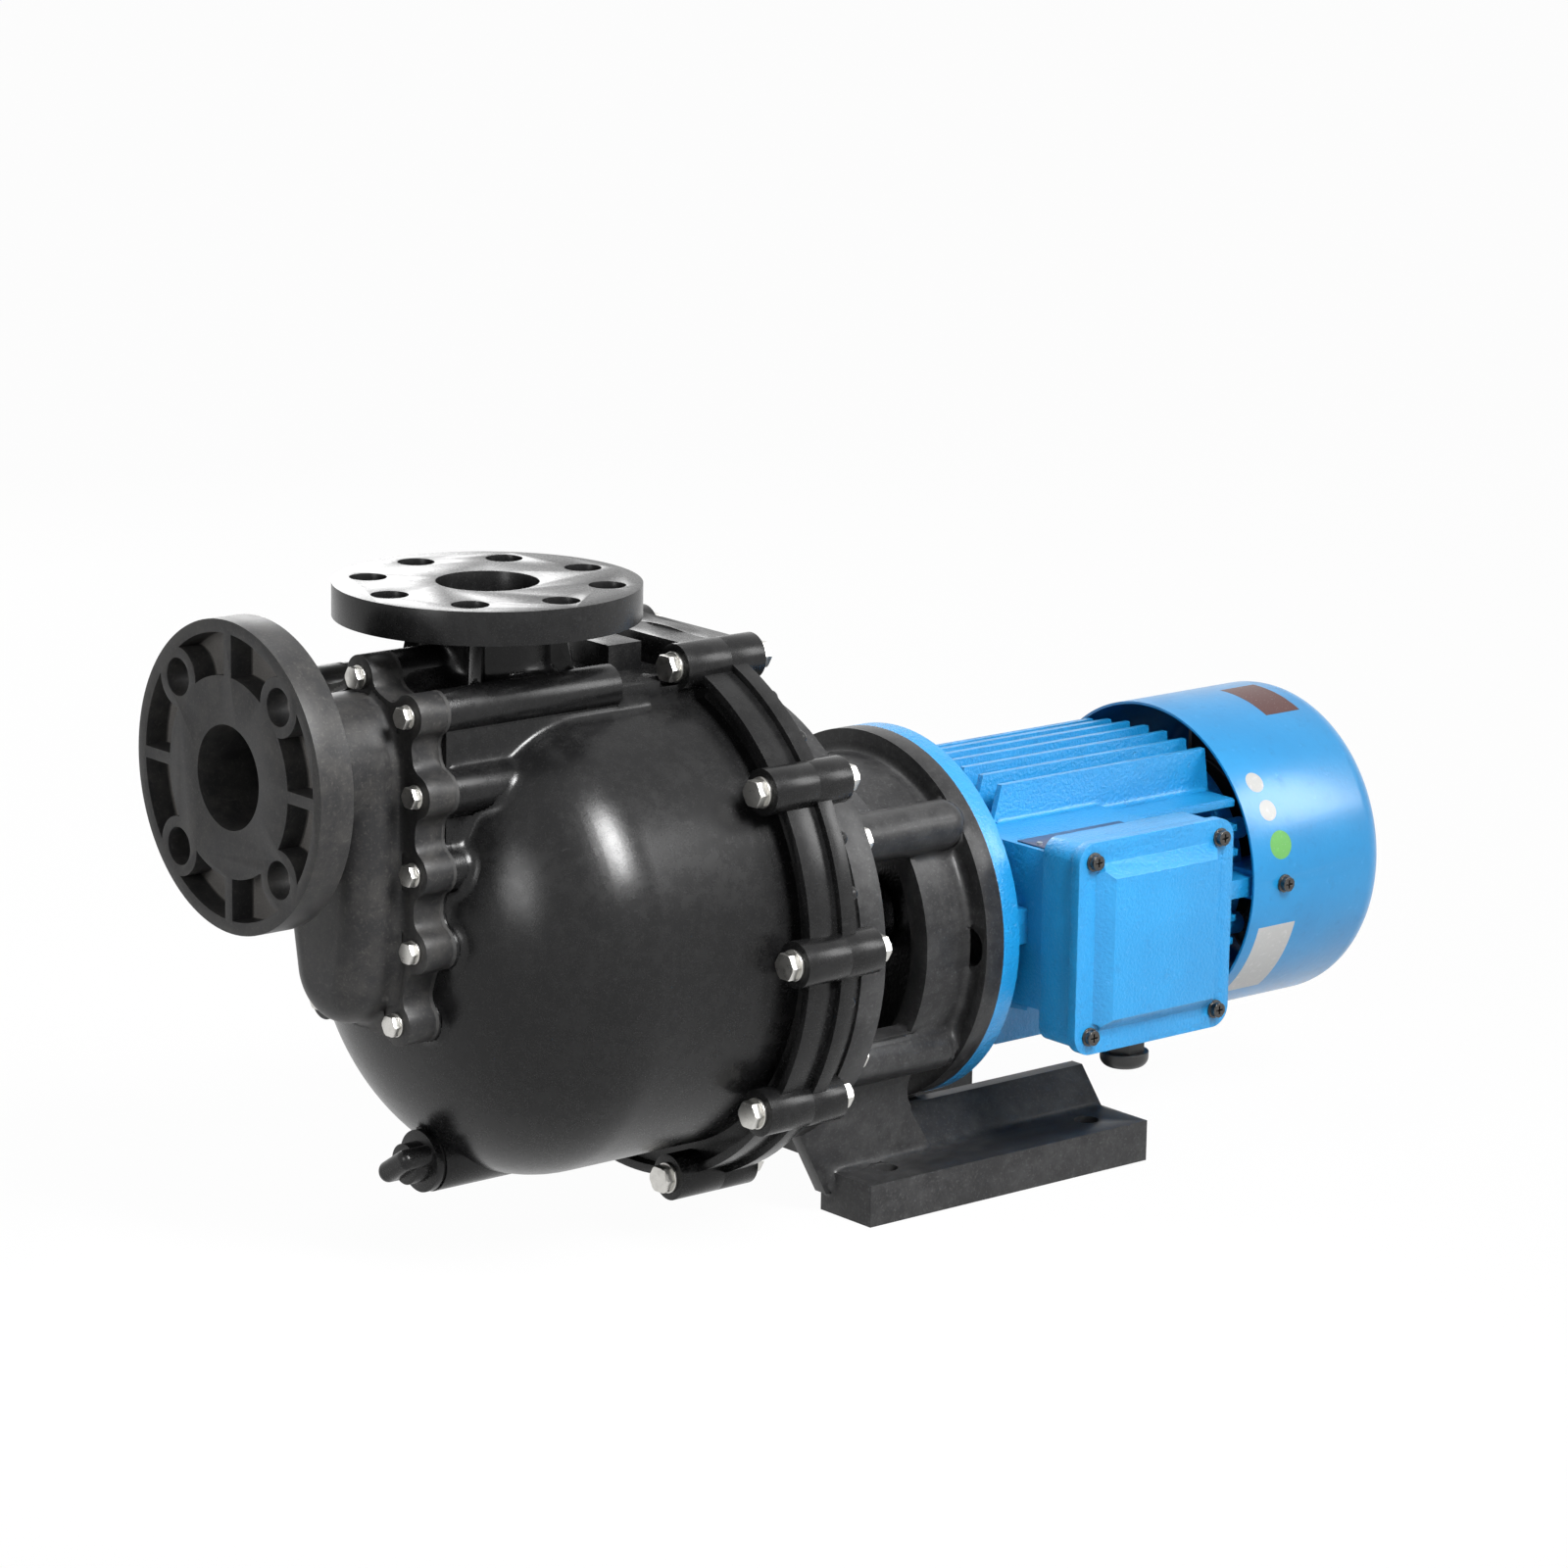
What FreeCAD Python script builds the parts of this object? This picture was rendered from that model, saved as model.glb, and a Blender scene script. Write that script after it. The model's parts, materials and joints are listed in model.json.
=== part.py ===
# Self-priming chemical pump: moulded tank, suction cover and bracket, with a flange-mounted motor.
# Frame: origin at the centre of the four foot-bolt holes on the underside of the foot.
# +X runs along the shaft from suction to motor, +Z is up, and the terminal box is on the -Y side.
import FreeCAD
import Part
import math
import os

V = FreeCAD.Vector
os.makedirs("parts", exist_ok=True)

# Heights of the two axes above the foot face
SHAFT_Z = 139.0
TANK_RISE = 29.0
TANK_Z = SHAFT_Z + TANK_RISE

# Clearances
RUN_GAP = 0.06        # radial play of a running fit
FACE_GAP = 0.05       # between faces that turn past each other
HOLE_PLAY = 0.5       # radius of a bolt hole over its bolt
SEAL_SQUASH = 0.1     # room left around a sealing ring in its groove

# Stations along the shaft
MATE_X = -19.4        # bracket and motor flange meet here
BRACKET_L = 118.6     # bracket between its two mating faces
COVER_STAND = 22.0    # rear cover rim to bracket
REAR_RIM_T = 9.0      # rear cover rim and plate
BODY_RIM_T = 18.0     # tank rim
TANK_STRAIGHT = 95.0  # tank rim face to the start of the nose
NOSE_L = 78.0         # rounded nose of the tank
MOUNT_X = MATE_X - BRACKET_L
RIM_BACK_X = MOUNT_X - COVER_STAND
SPLIT_X = RIM_BACK_X - REAR_RIM_T
RIM_FRONT_X = SPLIT_X - BODY_RIM_T
NOSE_X = SPLIT_X - TANK_STRAIGHT
FRONT_X = NOSE_X - NOSE_L

# Tank
TANK_R = 126.0
TANK_WALL = 8.0
NOSE_FLAT_R = 30.0    # flat middle of the nose
RIM_R = 141.5
GROOVE_R = 137.0      # outer wall of the groove behind the rim
GROOVE_DEPTH = 7.0
DECK_W = 94.0         # width of the top deck
DECK_H = 158.0        # deck above the shaft axis
HUMP_H = 173.0        # raised end of the deck above the shaft axis
HUMP_W = 88.0
FILL_PAD = 33.0       # square pad on the deck
FILL_PAD_L = 21.0
FILL_PAD_H = 14.0

# Pipe flanges, both of the 50 mm size
FLANGE_OD = 155.0
FLANGE_PCD = 120.0
FLANGE_HOLE_R = 9.5
BORE_R = 26.0
SUCTION_RISE = 131.0  # suction axis above the shaft
SUCTION_REACH = 96.0  # suction face in front of the tank face
SUCTION_T = 19.0
SUCTION_HOLES = 4
POCKET_IN_R = 50.0
POCKET_OUT_R = 71.0
POCKET_DEPTH = 13.0
SPOKE_W = 6.0
BOSS_R = 15.0
DISCHARGE_X = SPLIT_X - 113.0
DISCHARGE_H = 210.0   # discharge face above the shaft axis
DISCHARGE_T = 17.0
DISCHARGE_HOLES = 8
NECK_R = 32.0
SUCTION_NECK_R = 33.0
NECK_FOOT_R = 42.0
NECK_FOOT_H = 12.0
GUSSET_T = 6.0
GUSSET_FOOT_R = NECK_FOOT_R + 4.0
GUSSET_TOP_R = NECK_R + 6.0

# Suction cover: bolt places (across, above the shaft) of the right half
COVER_BOLTS = [(0.0, 171.0), (40.0, 158.0), (47.0, 119.5), (45.0, 80.0), (45.0, 41.0), (31.0, 1.0)]
COVER_BOSS_R = 11.0
COVER_T = 16.0
COVER_WEB_FILLET = 8.0
COVER_LIP = 8.0       # flange below the lowest two bolts
GASKET_T = 2.0
DOME_R = 34.0
DOME_FOOT_R = 29.0
DOME_TOP_H = 128.0    # centres of the dome's rounds above the shaft
DOME_MID_H = 52.0
DOME_FOOT_H = 26.0
DOME_L = 25.0
DOME_ROUND = 17.0
DOME_WALL = 7.0
INSERT_DEPTH = 18.0   # thread of the cover bolts in the tank
SUCTION_BOX_L = 24.0  # depth of the suction chamber inside the tank
TUBE_R = 28.0
EYE_R = 22.0
COVER_SEAT_X = FRONT_X - GASKET_T - COVER_T
SUCTION_X = FRONT_X - SUCTION_REACH

# Fasteners: shank radius, width across flats, head height, washer radius and thickness
M5 = {"r": 2.5, "af": 8.0, "head": 3.6, "washer_r": 5.0, "washer_t": 1.0, "nut": 4.0}
M6 = {"r": 3.0, "af": 10.0, "head": 4.0, "washer_r": 6.0, "washer_t": 1.2, "nut": 5.0}
M8 = {"r": 4.0, "af": 13.0, "head": 5.3, "washer_r": 8.0, "washer_t": 1.6, "nut": 6.5}
M10 = {"r": 5.0, "af": 16.0, "head": 6.4, "washer_r": 10.0, "washer_t": 2.0, "nut": 8.0}
SCREW_HEAD = 4.2      # head of the small cross-recessed screws
CROSS_L = 4.8
CROSS_W = 1.0
CROSS_DEPTH = 2.0

# Clamp ring
RING_BOLTS = 10
RING_R = 141.0
RING_BOSS_R = 12.0
RING_BOSS_FRONT = 10.0  # boss in front of the tank rim
RING_BOSS_BACK = 13.0   # boss behind the rear cover rim
HEAD_ROOM = 12.0        # room for a bolt head and its socket
WASHER_PLAY = 1.0

# Rear cover
REAR_RIM_R = 145.0
SPIGOT_T = 8.5
SPIGOT_L = 8.0
O_RING_R = 2.4
MOUNT_RISE = 16.0     # centre of the bracket disc above the shaft
MOUNT_OUT_R = 123.0
MOUNT_IN_R = 104.0
MOUNT_BOLT_R = 113.0
MOUNT_BOLTS = 6
MOUNT_THREAD = 16.0
RIB_T = 5.0
RIB_ANGLE = 12.0      # ribs stand this far each side of a ring bolt
KNOB_R = 4.2
KNOB_PCR = 135.0
KNOB_L = 10.0
HUB_R = 46.0
HUB_SPOKES = 6
SEAL_BORE_R = 30.0
THROAT_R = 20.0
THROAT_T = 4.0
HUB_L = 20.0          # hub behind the rear cover plate

# Volute casing, impeller and shaft
VOLUTE_R = 80.0
VOLUTE_WALL = 7.0
VOLUTE_L = 52.0
VOLUTE_COLLAR_L = 16.0
VOLUTE_COLLAR_T = 8.0
OUTLET_R = 20.0
OUTLET_WALL = 5.0
OUTLET_Y = 48.0
OUTLET_H = 108.0
LUG_R = 8.0
LUG_L = 10.0
IMPELLER_R = 62.0
IMPELLER_PLATE = 4.0
IMPELLER_VANES = 6
IMPELLER_HUB_R = 20.0
IMPELLER_W = 14.0     # water passage between the two plates
IMPELLER_BACK = 14.0  # back plate in front of the rear cover
EYE_RING_T = 3.0
VANE_T = 3.0
STUB_R = 12.0
SOCKET_R = 20.0
SOCKET_L = 76.0
SLEEVE_R = 16.0
CAP_L = 12.0
CAP_TIP_R = 7.0
CAP_R = 16.0
CAP_FLAT = 2.0
CAP_THREAD_R = STUB_R - 3.0
VANE_SWEEP = 70.0     # how far a blade leans back, in degrees
VANE_STEPS = 8
SET_SCREWS = (12.0, 32.0)   # from the open end of the socket

# Shaft seal
SEAT_T = 10.0
SEAT_R = 26.0
SEAT_BORE_R = 17.0
GLAND_R = 44.0
GLAND_T = 10.0
GLAND_LIP = 4.0
GLAND_BOLT_R = 38.0
GLAND_BOLTS = 4
ROTARY_R = 24.0
ROTARY_T = 6.0
BELLOWS_FOLDS = 3

# Bracket
DISC_R = 124.0
DISC_T = 16.0
TUBE_OUT_R = 87.0
TUBE_IN_R = 74.0
COLLAR_L = 30.0
PLATE_R = 100.0
PLATE_T = 11.6
PILLAR_R = 13.5
PILLAR_TOP = (67.5, 63.0)    # across, above the shaft
PILLAR_LOW = (65.7, -56.0)   # across, below the shaft
PLATE_HOLE_R = 10.5
WEB_T = 9.0
WEB_Y = 60.0
FRONT_WEB_T = 19.0
FOOT_FRONT = 100.0    # foot in front of the middle of its holes
FOOT_BACK = 97.5
FOOT_T = 22.4
FOOT_W = 182.0
FOOT_HOLE_X = 144.0
FOOT_HOLE_Y = 140.0
FOOT_HOLE_R = 6.75
PAD_IN_Y = 51.0
RISER_Y = 58.0
RISER_TOP_Y = 41.0
RISER_TOP_Z = 43.0
RISER_CREST_W = 8.0
ARCH_TOP_Z = 26.0
ARCH_T = 10.0
RISER_START = 87.0
RISER_END = 95.0
NOTCH_R = 15.0
BRACKET_PLATE_X = 6.0     # nameplate behind the disc
BRACKET_PLATE_L = 46.0
BRACKET_PLATE_FROM = 104.0   # its edges, in degrees from the +Y side
BRACKET_PLATE_TO = 126.0

# Motor
MOTOR_P_R = 100.0
MOTOR_FLANGE_T = 11.4
MOTOR_SPIGOT_R = 65.0
MOTOR_SPIGOT_L = 3.5
MOTOR_PCR = 82.5
MOTOR_THREAD = 30.0
SHIELD_SKIRT = 9.0
SIDE_LUG_Y = 96.0     # lug between the motor flange and the pedestal
SIDE_LUG_W = 14.0
SIDE_LUG_LOW = -1.0   # its lower face from the shaft
SIDE_LUG_H = 19.0
FRAME_L = 180.0
FRAME_R = 62.0
FRAME_BORE_R = 55.0
STATOR_L = 105.0
STATOR_START = 34.0
ROTOR_R = 32.0
AIR_GAP = 0.5
ROTOR_GAP_R = ROTOR_R + AIR_GAP
WINDING_L = 18.0
WINDING_OUT_R = ROTOR_GAP_R + 18
WINDING_IN_R = ROTOR_GAP_R + 2
STATOR_SLOTS = 24
SLOT_IN_R = ROTOR_GAP_R + 2
SLOT_OUT_R = ROTOR_GAP_R + 14
SLOT_W = 4.0
COIL_GAP = 1.0        # between the coils and the two ends of their slots
FIN_REACH = 76.0
FIN_DOME_R = 230.0    # the tips lie on this flat arc
FIN_PITCH = 15.0      # upright fins
UPRIGHT_FINS = 7
SIDE_FIN_FIRST = 18.5   # side fins from the shaft height
SIDE_FIN_PITCH = 13.5
SIDE_FINS = 3         # above the middle and below it
FIN_T = 3.6
FIN_SLANT_FRONT = 11.0
FIN_SLANT_BACK = 6.0
FIN_BACK = 13.0       # fins start this far behind the front of the frame
RAIL_REACH = 82.5     # rail in line with each cowl screw
RAIL_H = 10.5
RAIL_L = 75.0
TIE_R = 65.0
TIE_ANGLE = 24.5
TIE_BOSS_R = 6.0
REAR_SHIELD_T = 11.0
ARM_L = 15.0
ARM_W = 16.0
ARM_IN_R = 54.0
COWL_R = 88.0
COWL_OVERLAP = 5.0    # cowl reaches this far over the frame
COWL_SCREW_ANGLES = (0, 180, 270)   # from the +Y side
COWL_WALL = 1.5
COWL_L = 105.0
COWL_ROUND = 16.0
COWL_SCREW_X = 23.0   # cowl screws behind the cowl's front edge
COWL_SLOT_RINGS = 4
COWL_SLOT_IN_R = 14.0
COWL_SPOKE_W = 7.0
COWL_SLOT_W = 5.0
COWL_SLOT_PITCH = 13.0
COWL_SPOKES = 6
MOTOR_SHAFT_R = 12.0
MOTOR_SHAFT_L = 50.0
SEAT_SHAFT_R = 12.5
CORE_SHAFT_R = 15.0
FAN_SHAFT_R = 10.0
BEARING_R = 26.0
BEARING_W = 15.0
BALL_R = 4.0
BALLS = 9
RACE_T = 4.6
HOUSING_R = 36.0
OIL_SEAL_R = 20.0
OIL_SEAL_T = 6.0
FAN_HUB_R = 16.0
FAN_R = 70.0
FAN_W = 34.0
FAN_BLADES = 8
FAN_DISC_T = 4.0
FAN_DISC_R = 56.0
FAN_BLADE_T = 2.4
CLIP_T = 1.2
CLIP_W = 3.5
CLIP_OPEN = 6.0
FAN_END = 18.0        # fan to the end of the shaft
KEY_W = 8.0
KEY_H = 7.0
KEY_SINK = 4.0
KEY_L = 32.0
KEY_START = 11.0      # key in front of the mating face

# Terminal box on the -Y side
PED_L = 94.0
PED_Z0 = -35.0        # below the shaft
PED_Z1 = 51.0         # above the shaft
PED_Y = 112.0
BOX_L = 107.0
BOX_H = 110.0
BOX_FRONT = 5.0       # box in front of the pedestal
BOX_RISE = 9.0        # box above the pedestal
BOX_DEPTH = 22.0
BOX_BACK = 4.0        # back wall outside the pedestal
BOX_ROUND = 9.0
BOX_WALL = 5.0
BOX_GASKET_T = 2.0
LID_OVER = 2.0
LID_T = 6.0
LID_RAISE = 8.0
LID_EDGE = 11.0
LID_BEVEL = 8.0
LID_SCREW_INSET = 8.0
LID_THREAD = 14.0
LID_WALL = 4.0
BOX_POST = 13.0       # corner blocks inside the box
BOARD_L = 60.0
BOARD_H = 32.0
BOARD_T = 6.0
BOARD_WALL_T = 2.0    # walls between the terminals
BOARD_WALL_H = 10.0
STUD_PITCH = 20.0
STUD_ROWS = 16.0
STUD_NUT_T = 4.0
DUCT_R = 10.0         # way for the wires into the motor
PLATFORM_DROP = 3.0
PLATFORM_T = 4.0
STUD_R = 2.5
STUD_L = 14.0
GLAND_X = 48.0
GLAND_STEM_R = 8.0
GLAND_AF = 19.0
GLAND_COLLAR = 11.0
GLAND_THREAD = 6.0
GLAND_CAP_R = 13.0
GLAND_CAP_H = 8.5
GLAND_CAP_ROUND = 5.5
GLAND_SEAL_T = 1.5
CABLE_R = 5.0
MOTOR_PLATE_L = 73.0
MOTOR_PLATE_W = 26.0
MOTOR_PLATE_IN = 3.0
RIVET_INSET = 4.0
PLATE_LABEL_T = 0.8
RIVET_R = 1.6
RIVET_H = 1.0

# Drain
DRAIN_H = -83.5       # drain axis from the shaft axis
DRAIN_BOSS_R = 16.5
DRAIN_BOSS_L = 50.0
DRAIN_BOSS_X = FRONT_X + 24.0
DRAIN_STEM_R = 10.5
DRAIN_STEM_L = 20.0
DRAIN_HEAD_R = 16.0
DRAIN_HEAD_T = 4.0
DRAIN_HUB_R = 10.5
DRAIN_HUB_L = 9.0
DRAIN_RING_T = 1.6
DRAIN_RING_IN = 1.0   # sealing ring inside the rim of the head
WING_L = 18.0
WING_W = 28.0
WING_T = 11.0
WING_ROUND = 4.5
WING_TURN = 147.0     # how far the wing is turned from the +Y side


# Shapes

def rod(x0, x1, r, y=0.0, z=SHAFT_Z):
    return Part.makeCylinder(r, x1 - x0, V(x0, y, z), V(1, 0, 0))


def post(z0, z1, r, x, y):
    return Part.makeCylinder(r, z1 - z0, V(x, y, z0), V(0, 0, 1))


def pin_y(y0, y1, r, x, z):
    return Part.makeCylinder(r, y1 - y0, V(x, y0, z), V(0, 1, 0))


def ring(x0, x1, r_out, r_in, y=0.0, z=SHAFT_Z):
    return rod(x0, x1, r_out, y, z).cut(rod(x0 - 1, x1 + 1, r_in, y, z))


def block(x0, x1, y0, y1, z0, z1):
    return Part.makeBox(x1 - x0, y1 - y0, z1 - z0, V(x0, y0, z0))


def fuse(*shapes):
    joined = shapes[0].fuse(list(shapes[1:])) if len(shapes) > 1 else shapes[0]
    return joined.removeSplitter()


def cut(base, *tools):
    return base.cut(list(tools))


def plate_yz(points, x0, x1):
    wire = Part.makePolygon([V(x0, y, z) for y, z in points + points[:1]])
    return Part.Face(wire).extrude(V(x1 - x0, 0, 0))


def plate_xz(points, y0, y1):
    wire = Part.makePolygon([V(x, y0, z) for x, z in points + points[:1]])
    return Part.Face(wire).extrude(V(0, y1 - y0, 0))


def turned(points, z=SHAFT_Z):
    # points are (x, radius) about the axis along X at height z
    wire = Part.makePolygon([V(x, 0, z + r) for x, r in points + points[:1]])
    return Part.Face(wire).revolve(V(0, 0, z), V(1, 0, 0), 360)


def around(shape, count, z=SHAFT_Z, start=0.0):
    # copies turned about the axis along X, counted from the -Y side
    copies = []
    for i in range(count):
        turned_copy = shape.copy()
        turned_copy.rotate(V(0, 0, z), V(1, 0, 0), start + i * 360.0 / count)
        copies.append(turned_copy)
    return copies


def spots(count, radius, z=SHAFT_Z, start=0.0):
    # (y, z) places on a circle, with angle 0 at the +Y side
    angles = [math.radians(start + i * 360.0 / count) for i in range(count)]
    return [(radius * math.cos(a), z + radius * math.sin(a)) for a in angles]


def hexagon(x0, x1, across, y, z):
    corner = across / math.sqrt(3.0)
    points = [(y + corner * math.cos(math.radians(a)), z + corner * math.sin(math.radians(a)))
              for a in range(0, 360, 60)]
    body = plate_yz(points, x0, x1)
    chamfer = (corner - across / 2.0) * 0.6
    limit = turned([(x0, 0), (x0, corner - chamfer), (x0 + chamfer, corner),
                    (x1 - chamfer, corner), (x1, corner - chamfer), (x1, 0)], 0.0)
    limit.translate(V(0, y, z))
    return body.common(limit)


def bolt(kind, seat_x, end_x, y, z):
    # hexagon head outside seat_x, shank up to end_x, washer already counted in seat_x
    outward = -1.0 if end_x > seat_x else 1.0
    top = seat_x + outward * kind["head"]
    head = hexagon(min(seat_x, top), max(seat_x, top), kind["af"], y, z)
    return fuse(head, rod(min(seat_x, end_x), max(seat_x, end_x), kind["r"], y, z))


def washer(kind, x0, y, z):
    return ring(x0, x0 + kind["washer_t"], kind["washer_r"], kind["r"], y, z)


def capsule(low_h, low_r, high_h, high_r, x0, x1):
    # tapered slot outline between two rounds on the pump's middle plane
    gap = high_h - low_h
    lean = math.asin((high_r - low_r) / gap)
    side = []
    for h, r in ((low_h, low_r), (high_h, high_r)):
        side.append((r * math.cos(lean), SHAFT_Z + h - r * math.sin(lean)))
    points = side + [(-y, z) for y, z in reversed(side)]
    middle = plate_yz(points, x0, x1)
    return fuse(middle, rod(x0, x1, low_r, 0, SHAFT_Z + low_h), rod(x0, x1, high_r, 0, SHAFT_Z + high_h))


def cover_bolt_places():
    places = []
    for y, h in COVER_BOLTS:
        places.append((y, SHAFT_Z + h))
        if y > 0:
            places.append((-y, SHAFT_Z + h))
    return places


def scalloped(x0, x1):
    # outline of the suction joint: bosses round the bolts, joined by smooth hollows
    right = [(y, SHAFT_Z + h) for y, h in COVER_BOLTS]
    left = [(-y, z) for y, z in reversed(right) if y > 0]
    bosses = [rod(x0, x1, COVER_BOSS_R, y, z) for y, z in right + left]
    floor = block(x0, x1, -COVER_BOLTS[-1][0], COVER_BOLTS[-1][0], right[-1][1] - COVER_LIP, right[-1][1])
    body = fuse(plate_yz(right + left, x0, x1), floor, *bosses)
    end = min(body.Faces, key=lambda f: f.BoundBox.XMax)
    smooth = end.makeOffset2D(COVER_WEB_FILLET).makeOffset2D(-COVER_WEB_FILLET)
    return smooth.Faces[0].extrude(V(x1 - x0, 0, 0))


def ellipse_nose(shrink):
    # outer skin of the tank, or its inner skin when shrink is the wall
    radius = TANK_R - shrink
    length = NOSE_L - shrink
    rise = radius - NOSE_FLAT_R
    centre = V(NOSE_X, 0, TANK_Z + NOSE_FLAT_R)
    top = V(NOSE_X, 0, TANK_Z + radius)
    front = V(NOSE_X - length, 0, TANK_Z + NOSE_FLAT_R)
    if rise >= length:
        curve = Part.Ellipse(top, front, centre)
    else:
        curve = Part.Ellipse(front, top, centre)
    middle = V(NOSE_X - length * math.cos(math.pi / 4), 0,
               TANK_Z + NOSE_FLAT_R + rise * math.sin(math.pi / 4))
    arc = arc_through(curve, top, middle, front)
    corners = [front, V(NOSE_X - length, 0, TANK_Z), V(SPLIT_X, 0, TANK_Z),
               V(SPLIT_X, 0, TANK_Z + radius), top]
    edges = [arc] + [Part.makeLine(a, b) for a, b in zip(corners, corners[1:])]
    face = Part.Face(Part.Wire(Part.__sortEdges__(edges)))
    return face.revolve(V(0, 0, TANK_Z), V(1, 0, 0), 360)


def arc_through(curve, start, middle, end):
    # the piece of the curve from start to end that passes the middle point
    a, m, b = (curve.parameter(p) for p in (start, middle, end))
    low, high = min(a, b), max(a, b)
    if low < m < high:
        return curve.toShape(low, high)
    return curve.toShape(high, low + 2 * math.pi)


# Tank body

def pipe_flange_pockets(face_x):
    # hollows in the front of the suction flange, between spokes and bolt bosses
    z = SHAFT_Z + SUCTION_RISE
    hollow = ring(face_x, face_x + POCKET_DEPTH, POCKET_OUT_R, POCKET_IN_R, 0, z)
    spoke = block(face_x - 1, face_x + POCKET_DEPTH + 1, 0, FLANGE_OD / 2, z - SPOKE_W / 2, z + SPOKE_W / 2)
    keep = around(spoke, SUCTION_HOLES, z)
    step = 360.0 / SUCTION_HOLES
    for y, hz in spots(SUCTION_HOLES, FLANGE_PCD / 2, z, step / 2):
        keep.append(rod(face_x - 1, face_x + POCKET_DEPTH + 1, BOSS_R, y, hz))
    return cut(hollow, *keep)


def deck():
    top = SHAFT_Z + DECK_H
    half = DECK_W / 2
    low = TANK_Z + TANK_R / 2
    body = block(FRONT_X, SPLIT_X, -half, half, low, top)
    corner_end = DISCHARGE_X + GUSSET_FOOT_R
    shapes = [body]
    for y in (-COVER_BOLTS[1][0], COVER_BOLTS[1][0]):
        shapes.append(rod(FRONT_X, corner_end, COVER_BOSS_R, y, SHAFT_Z + COVER_BOLTS[1][1]))
    ridge = rod(FRONT_X, DISCHARGE_X, COVER_BOSS_R, 0, SHAFT_Z + COVER_BOLTS[0][1])
    shapes.append(ridge)
    shapes.append(block(FRONT_X, DISCHARGE_X, -COVER_BOSS_R, COVER_BOSS_R, low, SHAFT_Z + COVER_BOLTS[0][1]))
    shapes.append(block(SPLIT_X - BODY_RIM_T, SPLIT_X, -HUMP_W / 2, HUMP_W / 2, low, SHAFT_Z + HUMP_H))
    pad_x1 = RIM_FRONT_X - RING_BOSS_FRONT
    shapes.append(block(pad_x1 - FILL_PAD_L, pad_x1, -FILL_PAD / 2, FILL_PAD / 2, low, top + FILL_PAD_H))
    return fuse(*shapes)


def discharge_neck():
    top = SHAFT_Z + DISCHARGE_H
    under = top - DISCHARGE_T
    deck_z = SHAFT_Z + DECK_H
    flange = post(under, top, FLANGE_OD / 2, DISCHARGE_X, 0)
    neck = post(deck_z - TANK_WALL, under, NECK_R, DISCHARGE_X, 0)
    foot = Part.makeCone(NECK_FOOT_R, NECK_R, NECK_FOOT_H, V(DISCHARGE_X, 0, deck_z - 1), V(0, 0, 1))
    shapes = [flange, neck, foot]
    for angle in (45, 135, 225, 315):
        gusset = plate_xz([(0, deck_z - 2), (GUSSET_FOOT_R, deck_z - 2), (GUSSET_TOP_R, under), (0, under)],
                          -GUSSET_T / 2, GUSSET_T / 2)
        gusset.rotate(V(0, 0, 0), V(0, 0, 1), angle)
        gusset.translate(V(DISCHARGE_X, 0, 0))
        shapes.append(gusset)
    return fuse(*shapes)


def tank_cavity():
    deck_top = SHAFT_Z + DECK_H - TANK_WALL
    half = DECK_W / 2 - TANK_WALL - 1
    upper = block(FRONT_X + INSERT_DEPTH + 4, RIM_FRONT_X - TANK_WALL, -half, half, TANK_Z, deck_top)
    suction_box = fuse(capsule(DOME_MID_H, DOME_R, DOME_TOP_H, DOME_R, FRONT_X, FRONT_X + SUCTION_BOX_L + 6),
                       capsule(DOME_FOOT_H, DOME_FOOT_R, DOME_MID_H, DOME_R, FRONT_X,
                               FRONT_X + SUCTION_BOX_L + 6),
                       rod(FRONT_X, FRONT_X + SUCTION_BOX_L + 6, EYE_R + 4 + DOME_WALL))
    tube = rod(FRONT_X, SPLIT_X, TUBE_R)
    return cut(fuse(ellipse_nose(TANK_WALL), upper), suction_box, tube)


def suction_passage():
    depth = FRONT_X + SUCTION_BOX_L
    inner = DOME_R - DOME_WALL
    foot = DOME_FOOT_R - DOME_WALL
    eye_pocket = rod(FRONT_X + TANK_WALL, depth, EYE_R + 4)
    return fuse(capsule(DOME_MID_H, inner, DOME_TOP_H, inner, FRONT_X, depth),
                capsule(DOME_FOOT_H, foot, DOME_MID_H, inner, FRONT_X, depth),
                eye_pocket, rod(FRONT_X + TANK_WALL, SPLIT_X, EYE_R))


def drain_z():
    return SHAFT_Z + DRAIN_H


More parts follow.
